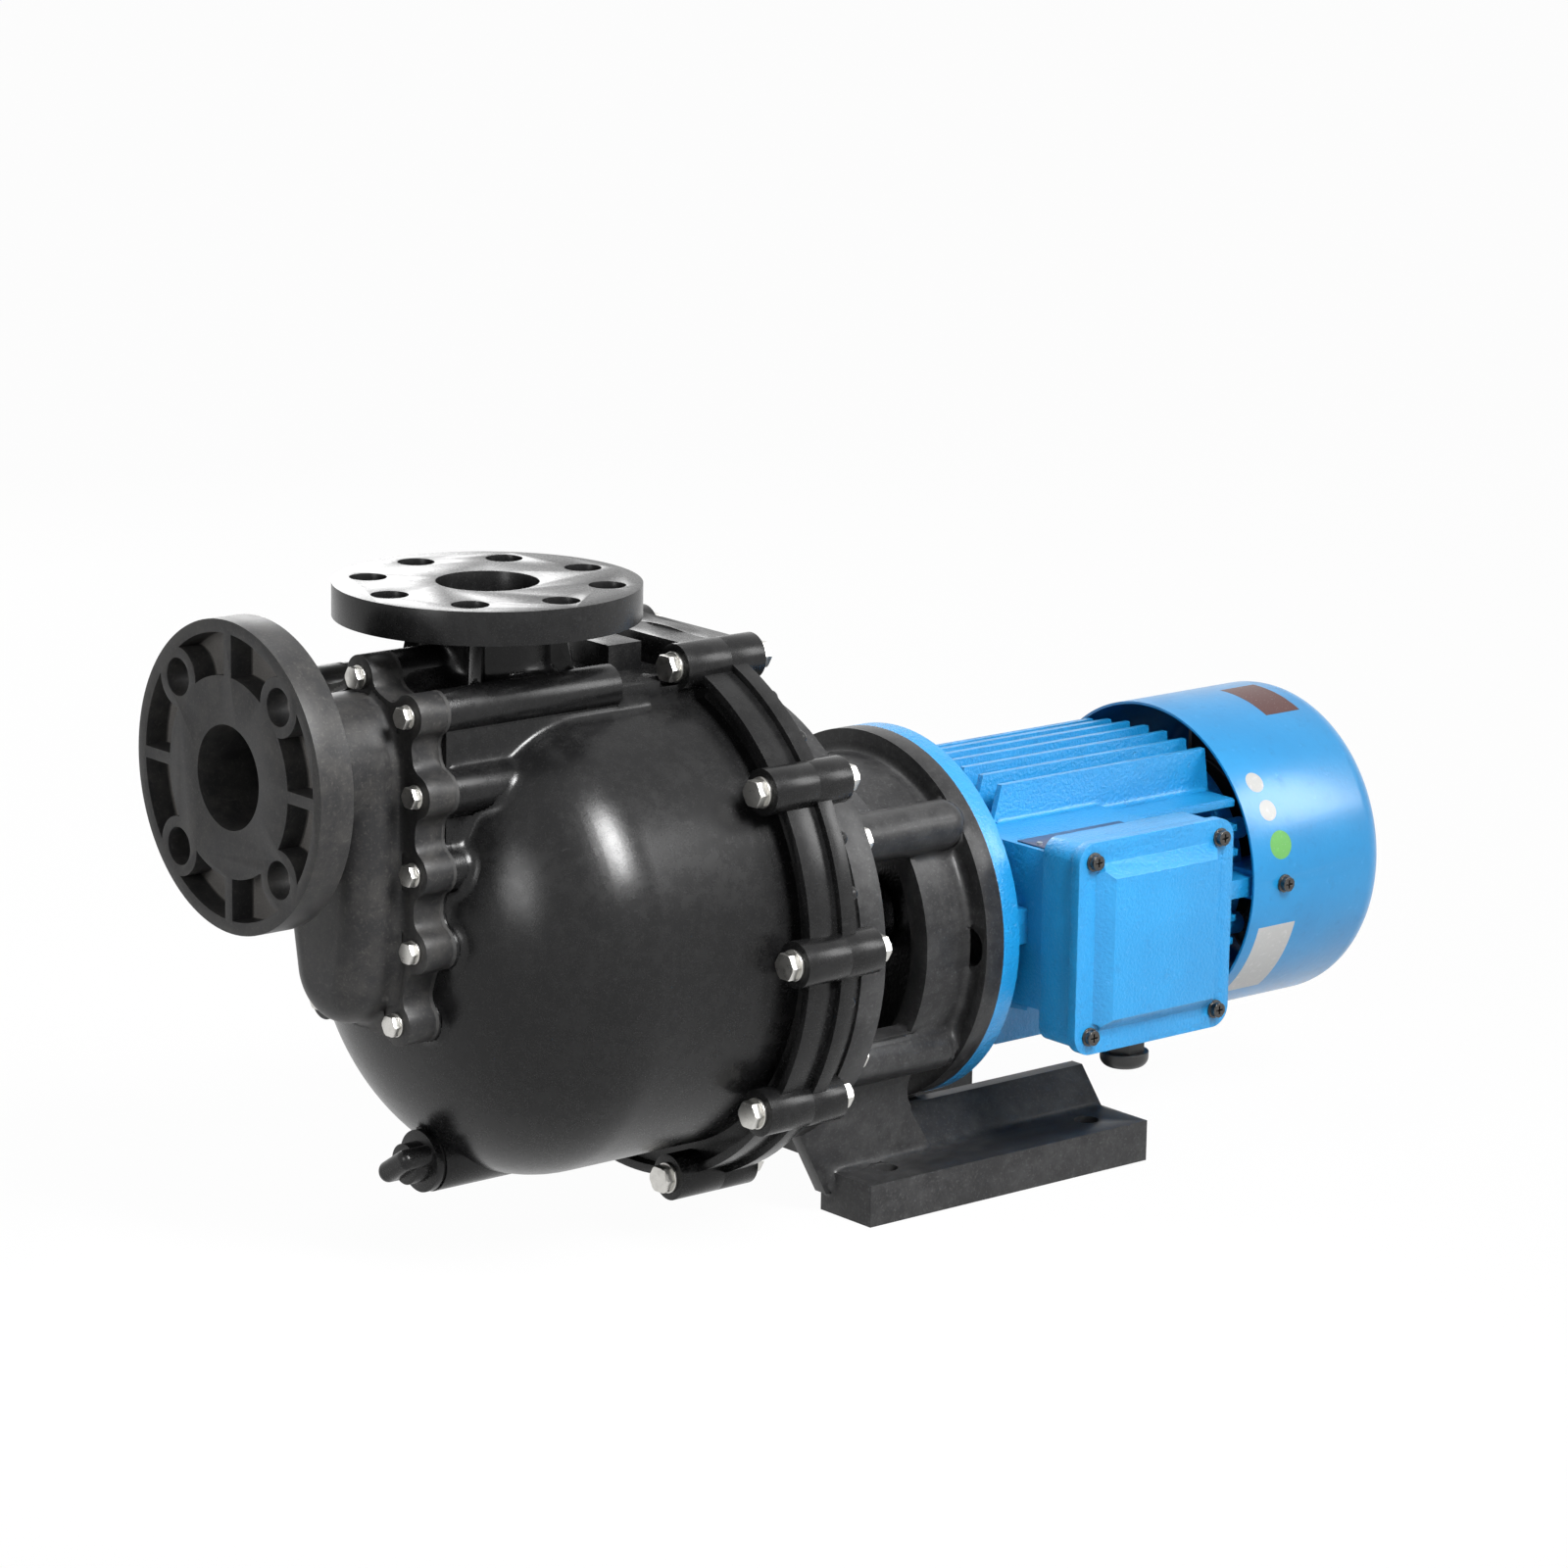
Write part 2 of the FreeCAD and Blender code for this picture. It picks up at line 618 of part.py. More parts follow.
def tank_body():
    outer = fuse(ellipse_nose(0.0), scalloped(FRONT_X, NOSE_X), deck(), discharge_neck())
    rim = rod(RIM_FRONT_X, SPLIT_X, RIM_R, 0, TANK_Z)
    groove = ring(RIM_FRONT_X, RIM_FRONT_X + GROOVE_DEPTH, GROOVE_R, TANK_R, 0, TANK_Z)
    top_keep = block(RIM_FRONT_X - 1, SPLIT_X, -DECK_W / 2, DECK_W / 2, TANK_Z, SHAFT_Z + DECK_H)
    rim = cut(rim, cut(groove, top_keep))
    boss_x = RIM_FRONT_X - RING_BOSS_FRONT
    bosses = [rod(boss_x, SPLIT_X, RING_BOSS_R, y, z) for y, z in spots(RING_BOLTS, RING_R, TANK_Z)]
    drain = rod(DRAIN_BOSS_X, DRAIN_BOSS_X + DRAIN_BOSS_L, DRAIN_BOSS_R, 0, drain_z())
    body = fuse(outer, rim, *bosses, drain)
    tube = rod(FRONT_X + SUCTION_BOX_L, tube_end(), TUBE_R)
    behind_tube = rod(tube_end(), SPLIT_X, TUBE_R + 1)
    holes = [rod(boss_x - 1, SPLIT_X + 1, M8["r"] + HOLE_PLAY, y, z)
             for y, z in spots(RING_BOLTS, RING_R, TANK_Z)]
    holes += [rod(FRONT_X - 1, FRONT_X + INSERT_DEPTH, M6["r"], y, z) for y, z in cover_bolt_places()]
    holes += [post(SHAFT_Z + DISCHARGE_H - DISCHARGE_T - 1, SHAFT_Z + DISCHARGE_H + 1, FLANGE_HOLE_R,
                   DISCHARGE_X + x, y - SHAFT_Z)
              for x, y in spots(DISCHARGE_HOLES, FLANGE_PCD / 2)]
    bore = post(SHAFT_Z + DECK_H - 2 * TANK_WALL, SHAFT_Z + DISCHARGE_H + 1, BORE_R, DISCHARGE_X, 0)
    drain_hole = rod(DRAIN_BOSS_X - 1, DRAIN_BOSS_X + DRAIN_STEM_L + 14, DRAIN_STEM_R + RUN_GAP, 0, drain_z())
    head_room = rod(DRAIN_BOSS_X - HEAD_ROOM, DRAIN_BOSS_X, DRAIN_HEAD_R + WASHER_PLAY, 0, drain_z())
    heads = [rod(boss_x - HEAD_ROOM, boss_x, M8["washer_r"] + WASHER_PLAY, y, z)
             for y, z in spots(RING_BOLTS, RING_R, TANK_Z)]
    return cut(body, tank_cavity(), behind_tube, suction_passage(), bore, drain_hole, head_room, *holes, *heads)


def tube_end():
    return volute_front() - FACE_GAP


# Suction cover

def dome(shrink, x0, x1):
    return fuse(capsule(DOME_MID_H, DOME_R - shrink, DOME_TOP_H, DOME_R - shrink, x0, x1),
                capsule(DOME_FOOT_H, DOME_FOOT_R - shrink, DOME_MID_H, DOME_R - shrink, x0, x1))


def rounded_dome():
    front = COVER_SEAT_X - DOME_L
    body = dome(0.0, front, COVER_SEAT_X + 1)
    edges = [e for e in body.Edges if abs(e.BoundBox.XMax - front) < 0.01]
    return body.makeFillet(DOME_ROUND, edges)


def suction_cover():
    z = SHAFT_Z + SUCTION_RISE
    plate_back = FRONT_X - GASKET_T
    plate = scalloped(COVER_SEAT_X, plate_back)
    neck = rod(SUCTION_X + SUCTION_T - 1, COVER_SEAT_X, SUCTION_NECK_R, 0, z)
    flange = rod(SUCTION_X, SUCTION_X + SUCTION_T, FLANGE_OD / 2, 0, z)
    body = fuse(plate, rounded_dome(), neck, flange)
    chamber = dome(DOME_WALL, COVER_SEAT_X - DOME_L + DOME_WALL, plate_back)
    bore = rod(SUCTION_X - 1, COVER_SEAT_X, BORE_R, 0, z)
    step = 360.0 / SUCTION_HOLES
    holes = [rod(SUCTION_X - 1, SUCTION_X + SUCTION_T + 1, FLANGE_HOLE_R, y, hz)
             for y, hz in spots(SUCTION_HOLES, FLANGE_PCD / 2, z, step / 2)]
    holes += [rod(COVER_SEAT_X - 1, plate_back + 1, M6["r"] + HOLE_PLAY, y, bz)
              for y, bz in cover_bolt_places()]
    return cut(body, chamber, bore, pipe_flange_pockets(SUCTION_X), *holes)


def suction_cover_gasket():
    x0, x1 = FRONT_X - GASKET_T, FRONT_X
    holes = [rod(x0 - 1, x1 + 1, M6["r"] + HOLE_PLAY, y, z) for y, z in cover_bolt_places()]
    return cut(scalloped(x0, x1), dome(DOME_WALL, x0 - 1, x1 + 1), *holes)


def cover_bolts():
    end = FRONT_X + INSERT_DEPTH - 2
    return [bolt(M6, COVER_SEAT_X - M6["washer_t"], end, y, z) for y, z in cover_bolt_places()]


def cover_washers():
    return [washer(M6, COVER_SEAT_X - M6["washer_t"], y, z) for y, z in cover_bolt_places()]


# Clamp ring fasteners

def ring_places():
    return spots(RING_BOLTS, RING_R, TANK_Z)


def ring_bolts():
    seat = RIM_FRONT_X - RING_BOSS_FRONT - M8["washer_t"]
    end = RIM_BACK_X + RING_BOSS_BACK + M8["washer_t"] + M8["nut"] + 2.5
    return [bolt(M8, seat, end, y, z) for y, z in ring_places()]


def ring_washers():
    front = RIM_FRONT_X - RING_BOSS_FRONT - M8["washer_t"]
    back = RIM_BACK_X + RING_BOSS_BACK
    return [washer(M8, x, y, z) for x in (front, back) for y, z in ring_places()]


def ring_nuts():
    x0 = RIM_BACK_X + RING_BOSS_BACK + M8["washer_t"]
    return [cut(hexagon(x0, x0 + M8["nut"], M8["af"], y, z), rod(x0 - 1, x0 + M8["nut"] + 1, M8["r"], y, z))
            for y, z in ring_places()]


# Rear cover

def spigot_out_r():
    return TANK_R - TANK_WALL - SEAL_SQUASH


def mount_z():
    return SHAFT_Z + MOUNT_RISE


def mount_bolt_places():
    return spots(MOUNT_BOLTS, MOUNT_BOLT_R, mount_z(), 30.0)


def rear_cover():
    plate = rod(SPLIT_X, RIM_BACK_X, REAR_RIM_R, 0, TANK_Z)
    hump = block(SPLIT_X, RIM_BACK_X + RING_BOSS_BACK / 2, -HUMP_W / 2, HUMP_W / 2, TANK_Z + MOUNT_IN_R,
                 SHAFT_Z + HUMP_H)
    bosses = [rod(SPLIT_X, RIM_BACK_X + RING_BOSS_BACK, RING_BOSS_R, y, z) for y, z in ring_places()]
    spigot = ring(SPLIT_X - SPIGOT_L, SPLIT_X, spigot_out_r(), spigot_out_r() - SPIGOT_T, 0, TANK_Z)
    groove_x = SPLIT_X - SPIGOT_L / 2
    groove_half = O_RING_R + SEAL_SQUASH
    groove = ring(groove_x - groove_half, groove_x + groove_half, TANK_R, groove_floor_r(), 0, TANK_Z)
    spigot = cut(spigot, groove)
    mount = ring(RIM_BACK_X, MOUNT_X, MOUNT_OUT_R, MOUNT_IN_R, 0, mount_z())
    hub = rod(SPLIT_X, RIM_BACK_X + HUB_L, HUB_R)
    ribs = []
    for i in range(RING_BOLTS):
        for side in (-RIB_ANGLE, RIB_ANGLE):
            angle = i * 360.0 / RING_BOLTS + side
            ribs.append(rib(angle))
    spoke = block(RIM_BACK_X, RIM_BACK_X + HUB_L, HUB_R - 2, MOUNT_IN_R - MOUNT_RISE, SHAFT_Z - RIB_T / 2,
                  SHAFT_Z + RIB_T / 2)
    spokes = around(spoke, HUB_SPOKES, SHAFT_Z, 30)
    body = fuse(plate, hump, spigot, mount, hub, *bosses, *ribs, *spokes)
    holes = [rod(SPLIT_X - 1, RIM_BACK_X + RING_BOSS_BACK + 1, M8["r"] + HOLE_PLAY, y, z)
             for y, z in ring_places()]
    holes += [rod(MOUNT_X - MOUNT_THREAD, MOUNT_X + 1, M8["r"], y, z) for y, z in mount_bolt_places()]
    holes += [rod(SPLIT_X - 1, SPLIT_X + REAR_RIM_T - 2, M6["r"], y, z) for y, z in lug_places()]
    holes += [rod(hub_back() - 12, hub_back() + 1, M5["r"], y, z) for y, z in gland_places()]
    back = RIM_BACK_X + RING_BOSS_BACK
    holes += [rod(back, back + HEAD_ROOM, M8["washer_r"] + WASHER_PLAY, y, z) for y, z in ring_places()]
    throat = rod(SPLIT_X - 1, SPLIT_X + THROAT_T + 1, THROAT_R)
    seal_room = rod(SPLIT_X + THROAT_T, hub_back() + 1, SEAL_BORE_R)
    return cut(body, throat, seal_room, *holes)


def groove_floor_r():
    return TANK_R - TANK_WALL - 2 * O_RING_R - SEAL_SQUASH


def rib(angle):
    # sloping rib from the rim to the bracket mount, with its rounded knob
    foot_r = MOUNT_OUT_R - MOUNT_RISE - 6
    web = plate_xz([(RIM_BACK_X - 1, TANK_Z + foot_r), (RIM_BACK_X - 1, TANK_Z + KNOB_PCR),
                    (RIM_BACK_X + KNOB_L - KNOB_R, TANK_Z + KNOB_PCR), (MOUNT_X - 4, TANK_Z + foot_r)],
                   -RIB_T / 2, RIB_T / 2)
    tip = Part.makeSphere(KNOB_R, V(RIM_BACK_X + KNOB_L - KNOB_R, 0, TANK_Z + KNOB_PCR))
    knob = rod(RIM_BACK_X - 1, RIM_BACK_X + KNOB_L - KNOB_R, KNOB_R, 0, TANK_Z + KNOB_PCR)
    shape = fuse(web, knob, tip)
    shape.rotate(V(0, 0, TANK_Z), V(1, 0, 0), angle - 90)
    return shape


def rear_cover_o_ring():
    x = SPLIT_X - SPIGOT_L / 2
    middle = TANK_R - TANK_WALL - O_RING_R - SEAL_SQUASH / 2
    return Part.makeTorus(middle, O_RING_R, V(x, 0, TANK_Z), V(1, 0, 0))


# Volute casing

def volute_front():
    return SPLIT_X - VOLUTE_L


def lug_places():
    reach = VOLUTE_R + LUG_R - 1
    return [(-reach, SHAFT_Z), (0.0, SHAFT_Z + reach), (reach, SHAFT_Z)]


def volute_casing():
    front = volute_front()
    shell = rod(front, SPLIT_X, VOLUTE_R)
    collar = rod(front - VOLUTE_COLLAR_L, front, TUBE_R + VOLUTE_COLLAR_T)
    outlet_x = (front + SPLIT_X) / 2
    outlet = post(SHAFT_Z, SHAFT_Z + OUTLET_H, OUTLET_R, outlet_x, OUTLET_Y)
    lugs = [rod(SPLIT_X - LUG_L, SPLIT_X, LUG_R, y, z) for y, z in lug_places()]
    body = fuse(shell, collar, outlet, *lugs)
    room = rod(front + VOLUTE_WALL, SPLIT_X + 1, VOLUTE_R - VOLUTE_WALL)
    socket = rod(front - VOLUTE_COLLAR_L - 1, front, TUBE_R)
    eye = rod(front - 1, front + VOLUTE_WALL + 1, eye_ring_r() + RUN_GAP)
    way_out = post(SHAFT_Z + 10, SHAFT_Z + OUTLET_H + 1, OUTLET_R - OUTLET_WALL, outlet_x, OUTLET_Y)
    holes = [rod(SPLIT_X - LUG_L - 1, SPLIT_X + 1, M6["r"] + HOLE_PLAY, y, z) for y, z in lug_places()]
    return cut(body, room, socket, eye, way_out, *holes)


def volute_screws():
    return [bolt(M6, SPLIT_X - LUG_L, SPLIT_X + REAR_RIM_T - 3, y, z) for y, z in lug_places()]


# Impeller and pump shaft

def impeller_back():
    return SPLIT_X - IMPELLER_BACK


def impeller_front():
    return impeller_back() - 2 * IMPELLER_PLATE - IMPELLER_W


def eye_ring_r():
    return EYE_R + EYE_RING_T


def vane():
    # one backward-leaning blade, as a band between two arcs
    front, back = [], []
    root_r, tip_r = IMPELLER_HUB_R - 2, IMPELLER_R - 1
    for i in range(VANE_STEPS + 1):
        r = root_r + (tip_r - root_r) * i / VANE_STEPS
        a = math.radians(VANE_SWEEP * i / VANE_STEPS)
        for side, turn in ((front, 0.0), (back, VANE_T / r)):
            side.append((r * math.cos(a + turn), SHAFT_Z + r * math.sin(a + turn)))
    inner = impeller_back() - IMPELLER_PLATE
    return plate_yz(front + back[::-1], inner - IMPELLER_W - 1, inner + 1)


def impeller():
    back, front = impeller_back(), impeller_front()
    plate = rod(back - IMPELLER_PLATE, back, IMPELLER_R)
    hub = rod(front + IMPELLER_PLATE, back + IMPELLER_PLATE, IMPELLER_HUB_R)
    shroud = ring(front, front + IMPELLER_PLATE, IMPELLER_R, EYE_R)
    eye = ring(volute_front() + 1, front + 1, eye_ring_r(), EYE_R)
    vanes = around(vane(), IMPELLER_VANES)
    body = fuse(plate, hub, shroud, eye, *vanes)
    return cut(body, rod(front - 20, back + 20, STUB_R))


def impeller_cap():
    front = impeller_front() + IMPELLER_PLATE
    cone = Part.makeCone(CAP_TIP_R, CAP_R, CAP_L - CAP_FLAT, V(front - CAP_L, 0, SHAFT_Z), V(1, 0, 0))
    cap = fuse(cone, rod(front - CAP_FLAT, front, CAP_R))
    return cut(cap, rod(cap_thread_x(), front + 1, CAP_THREAD_R))


def cap_thread_x():
    return impeller_front() + IMPELLER_PLATE - CAP_L + 4


def socket_front():
    return MATE_X - MOTOR_SPIGOT_L - 3 - SOCKET_L


def stub_shaft():
    front = impeller_front() + IMPELLER_PLATE
    thread = rod(cap_thread_x(), front, CAP_THREAD_R)
    nose = rod(front, socket_front() + 1, STUB_R)
    socket = rod(socket_front(), socket_front() + SOCKET_L, SOCKET_R)
    room = rod(MATE_X - MOTOR_SHAFT_L - 1, socket_front() + SOCKET_L + 1, MOTOR_SHAFT_R)
    screws = [pin_y(-SOCKET_R - 1, 0, M6["r"], x, SHAFT_Z) for x in set_screw_places()]
    return cut(fuse(thread, nose, socket), room, key_block(), *screws)


def set_screw_places():
    return [socket_front() + SOCKET_L - back for back in SET_SCREWS]


def stub_set_screws():
    return [pin_y(-SOCKET_R + 0.5, -MOTOR_SHAFT_R, M6["r"], x, SHAFT_Z) for x in set_screw_places()]


def key_block():
    x1 = MATE_X - KEY_START
    z0 = SHAFT_Z + MOTOR_SHAFT_R - KEY_SINK
    return block(x1 - KEY_L, x1, -KEY_W / 2, KEY_W / 2, z0, z0 + KEY_H)


def shaft_sleeve():
    return ring(impeller_back() + IMPELLER_PLATE, socket_front(), SLEEVE_R, STUB_R)


# Shaft seal

def hub_back():
    return RIM_BACK_X + HUB_L


def seat_face():
    return hub_back() + GLAND_LIP - SEAT_T


def gland_places():
    return spots(GLAND_BOLTS, GLAND_BOLT_R, SHAFT_Z, 45.0)


def seal_gland():
    x0, x1 = hub_back(), hub_back() + GLAND_T
    recess = rod(x0 - 1, x0 + GLAND_LIP, SEAT_R)
    holes = [rod(x0 - 1, x1 + 1, M5["r"] + HOLE_PLAY, y, z) for y, z in gland_places()]
    return cut(rod(x0, x1, GLAND_R), recess, rod(x0, x1 + 1, SEAT_BORE_R), *holes)


def seal_gland_screws():
    x1 = hub_back() + GLAND_T
    return [bolt(M5, x1, hub_back() - 11, y, z) for y, z in gland_places()]


def seal_seat():
    return ring(seat_face(), seat_face() + SEAT_T, SEAT_R, SEAT_BORE_R)


def rotary_x():
    return seat_face() - FACE_GAP - ROTARY_T


def seal_ring():
    return ring(rotary_x(), rotary_x() + ROTARY_T, ROTARY_R, SLEEVE_R)


def seal_bellows():
    # folded sleeve that turns with the shaft and presses the ring on its seat
    start = SPLIT_X + THROAT_T + 1
    span = rotary_x() - start
    step = span / (2 * BELLOWS_FOLDS)
    inside, outside = SLEEVE_R + 2.0, ROTARY_R - 1.0
    outline = [(start, SLEEVE_R)]
    for i in range(2 * BELLOWS_FOLDS + 1):
        outline.append((start + i * step, outside if i % 2 == 0 else inside))
    outline.append((start + span, SLEEVE_R))
    return turned(outline)


# Bracket

def foot():
    shapes = []
    top = RISER_TOP_Z
    crest = RISER_TOP_Y - RISER_CREST_W
    inner = PAD_IN_Y - 1
    for side in (-1, 1):
        ys = sorted((side * PAD_IN_Y, side * FOOT_W / 2))
        shapes.append(block(-FOOT_FRONT, FOOT_BACK, ys[0], ys[1], 0, FOOT_T))
        riser = [(PAD_IN_Y, 0), (RISER_Y, 0), (RISER_Y, FOOT_T), (RISER_TOP_Y, top), (crest, top),
                 (inner, FOOT_T)]
        shapes.append(plate_yz([(side * y, z) for y, z in riser], -RISER_START, RISER_END))
    roof = ARCH_TOP_Z + ARCH_T
    right = [(RISER_Y, FOOT_T / 2), (RISER_TOP_Y, top), (crest, top), (crest - 8, roof)]
    arch = [(PAD_IN_Y, FOOT_T / 2), (PAD_IN_Y - 11, ARCH_TOP_Z * 0.65), (PAD_IN_Y - 30, ARCH_TOP_Z * 0.95)]
    points = right + [(-y, z) for y, z in reversed(right)]
    points += [(-y, z) for y, z in arch] + [(y, z) for y, z in reversed(arch)]
    shapes.append(plate_yz(points, -RISER_START, FRONT_WEB_T - FOOT_FRONT - 4))
    holes = [post(-1, FOOT_T + 1, FOOT_HOLE_R, sx * FOOT_HOLE_X / 2, sy * FOOT_HOLE_Y / 2)
             for sx in (-1, 1) for sy in (-1, 1)]
    return cut(fuse(*shapes), *holes)


def motor_bracket():
    disc_back = MOUNT_X + DISC_T
    end = MATE_X - PLATE_T
    disc = rod(MOUNT_X, disc_back, DISC_R, 0, mount_z())
    tube = rod(MOUNT_X, end, TUBE_OUT_R)
    plate = rod(end, MATE_X, PLATE_R)
    pillars = []
    for across, height in (PILLAR_TOP, PILLAR_LOW):
        for side in (-1, 1):
            y, z = side * across, SHAFT_Z + height
            pillars.append(rod(MOUNT_X, end - PILLAR_R / 2, PILLAR_R, y, z))
            pillars.append(Part.makeSphere(PILLAR_R, V(end - PILLAR_R / 2, y, z)))
    webs = []
    for side in (-1, 1):
        ys = sorted((side * WEB_Y, side * (WEB_Y - WEB_T)))
        web = plate_xz([(MOUNT_X + 4, SHAFT_Z + PILLAR_LOW[1]), (end - NOTCH_R, SHAFT_Z + PILLAR_LOW[1]),
                        (end - NOTCH_R, FOOT_T + 24), (end, FOOT_T), (-FOOT_FRONT, FOOT_T / 2),
                        (-FOOT_FRONT - 4, FOOT_T / 2), (MOUNT_X + DISC_T, FOOT_T * 2)], ys[0], ys[1])
        hollow = pin_y(-WEB_Y - 1, WEB_Y + 1, NOTCH_R, end - 3, FOOT_T + NOTCH_R + RISER_TOP_Z - FOOT_T)
        webs.append(cut(web, hollow))
    front_x = -FOOT_FRONT - 4
    front_web = block(front_x, front_x + FRONT_WEB_T, -WEB_Y + 1, WEB_Y - 1, ARCH_TOP_Z + 2,
                      SHAFT_Z - TUBE_IN_R + 4)
    body = fuse(disc, tube, plate, foot(), front_web, *pillars, *webs)
    room = rod(MOUNT_X - 1, end + 1, TUBE_IN_R)
    spigot_hole = rod(end - 1, MATE_X + 1, MOTOR_SPIGOT_R + RUN_GAP)
    window_z0 = SHAFT_Z + PILLAR_LOW[1] + PILLAR_R - 1
    window_z1 = SHAFT_Z + PILLAR_TOP[1] - PILLAR_R + 1
    window = block(disc_back, end - COLLAR_L, -DISC_R, DISC_R, window_z0, window_z1)
    holes = [rod(MOUNT_X - 1, disc_back + 1, M8["r"] + HOLE_PLAY, y, z) for y, z in mount_bolt_places()]
    holes += [rod(MATE_X - MOTOR_THREAD, MATE_X + 1, M10["r"], y, z) for y, z in motor_bolt_places()]
    for side in (-1, 1):
        holes.append(rod(end, MATE_X + 1, PLATE_HOLE_R, side * (TUBE_OUT_R - 1), SHAFT_Z))
    return cut(body, room, spigot_hole, window, *holes)


def bracket_bolts():
    seat = MOUNT_X + DISC_T + M8["washer_t"]
    return [bolt(M8, seat, MOUNT_X - MOUNT_THREAD + 2, y, z) for y, z in mount_bolt_places()]


def bracket_washers():
    return [washer(M8, MOUNT_X + DISC_T, y, z) for y, z in mount_bolt_places()]


def curved_plate(x0, x1, from_deg, to_deg, radius, thickness):
    # thin plate bent round the shaft axis, angles from the +Y side
    band = ring(x0, x1, radius + thickness, radius)
    reach = 2 * (radius + thickness)
    corner = [(0.0, SHAFT_Z)]
    for a in (from_deg, to_deg):
        corner.append((reach * math.cos(math.radians(a)), SHAFT_Z + reach * math.sin(math.radians(a))))
    return band.common(plate_yz(corner, x0, x1))


def bracket_plate_ends():
    x0 = MOUNT_X + DISC_T + BRACKET_PLATE_X
    return x0, x0 + BRACKET_PLATE_L


def bracket_nameplate():
    x0, x1 = bracket_plate_ends()
    return curved_plate(x0, x1, BRACKET_PLATE_FROM, BRACKET_PLATE_TO, TUBE_OUT_R + FACE_GAP, PLATE_LABEL_T)


def bracket_nameplate_rivets():
    x0, x1 = bracket_plate_ends()
    a = math.radians((BRACKET_PLATE_FROM + BRACKET_PLATE_TO) / 2)
    foot_r = TUBE_OUT_R + FACE_GAP + PLATE_LABEL_T
    rivets = []
    for x in (x0 + RIVET_INSET, x1 - RIVET_INSET):
        base = V(x, foot_r * math.cos(a), SHAFT_Z + foot_r * math.sin(a))
        rivets.append(Part.makeCylinder(RIVET_R, RIVET_H, base, V(0, math.cos(a), math.sin(a))))
    return rivets


# Motor

def motor_bolt_places():
    return spots(4, MOTOR_PCR, SHAFT_Z, 45.0)


def flange_back():
    return MATE_X + MOTOR_FLANGE_T


def frame_x():
    return flange_back() + SHIELD_SKIRT


def frame_end():
    return frame_x() + FRAME_L


def tie_places():
    y = TIE_R * math.cos(math.radians(TIE_ANGLE))
    z = TIE_R * math.sin(math.radians(TIE_ANGLE))
    return [(sy * y, SHAFT_Z + sz * z) for sy in (-1, 1) for sz in (-1, 1)]


def front_bearing_x():
    return MATE_X + OIL_SEAL_T + 1


def rear_bearing_x():
    return frame_end() + REAR_SHIELD_T - BEARING_W - 4


def front_shield():
    back = flange_back()
    flange = rod(MATE_X, back, MOTOR_P_R)
    spigot = rod(MATE_X - MOTOR_SPIGOT_L, MATE_X, MOTOR_SPIGOT_R)
    skirt = ring(back, frame_x(), FRAME_R, FRAME_BORE_R)
    housing = rod(MATE_X, front_bearing_x() + BEARING_W, HOUSING_R)
    lugs = [rod(back, frame_x(), TIE_BOSS_R, y, z) for y, z in tie_places()]
    low = SHAFT_Z + SIDE_LUG_LOW
    lugs.append(block(back, frame_x(), -SIDE_LUG_Y, SIDE_LUG_W - SIDE_LUG_Y, low, low + SIDE_LUG_H))
    body = fuse(flange, spigot, skirt, housing, *lugs)
    holes = [rod(MATE_X - 1, back + 1, M10["r"] + HOLE_PLAY, y, z) for y, z in motor_bolt_places()]
    holes += [rod(back - 4, frame_x() + 1, M6["r"], y, z) for y, z in tie_places()]
    bearing = rod(front_bearing_x(), frame_x() + 20, BEARING_R)
    seal = rod(MATE_X - MOTOR_SPIGOT_L + 1, front_bearing_x(), OIL_SEAL_R)
    shaft = rod(MATE_X - MOTOR_SPIGOT_L - 1, MATE_X, SEAT_SHAFT_R + 2)
    return cut(body, bearing, seal, shaft, *holes)


def oil_seal():
    x0 = MATE_X - MOTOR_SPIGOT_L + 1
    return ring(x0, x0 + OIL_SEAL_T, OIL_SEAL_R, SEAT_SHAFT_R + RUN_GAP)


def fin_tip(offset):
    # height of a fin's tip over the shaft axis, on the flat arc
    return FIN_REACH - FIN_DOME_R + math.sqrt(FIN_DOME_R ** 2 - offset ** 2)


def fin_pair(offset, x0, x1):
    # fin over and under the frame, this far to the side, with slanted ends
    fins = []
    for side in (-1, 1):
        root = SHAFT_Z + side * FRAME_R / 2
        tip = SHAFT_Z + side * fin_tip(offset)
        points = [(x0, root), (x1, root), (x1 - FIN_SLANT_BACK, tip), (x0 + FIN_SLANT_FRONT, tip)]
        fins.append(plate_xz(points, offset - FIN_T / 2, offset + FIN_T / 2))
    return fins


def fins(x0, x1):
    shapes = []
    for i in range(UPRIGHT_FINS):
        shapes += fin_pair((i - (UPRIGHT_FINS - 1) / 2) * FIN_PITCH, x0, x1)
    for i in range(SIDE_FINS):
        for side in (-1, 1):
            for fin in fin_pair(side * (SIDE_FIN_FIRST + i * SIDE_FIN_PITCH), x0, x1):
                fin.rotate(V(0, 0, SHAFT_Z), V(1, 0, 0), 90)
                shapes.append(fin)
    return shapes


def at_cowl_screws(shape):
    # copies of a shape drawn on the +Y side, one for each cowl screw
    copies = []
    for angle in COWL_SCREW_ANGLES:
        copies += around(shape, 1, SHAFT_Z, angle)
    return copies


def platform():
    # wide flat piece behind the pedestal, at the height of the topmost side fin
    top = SHAFT_Z + PED_Z1 - PLATFORM_DROP
    outer = -fin_tip(PED_Z1)
    return block(ped_x1() - 1, frame_end() - FIN_SLANT_BACK, outer, -FRAME_R / 2, top - PLATFORM_T, top)


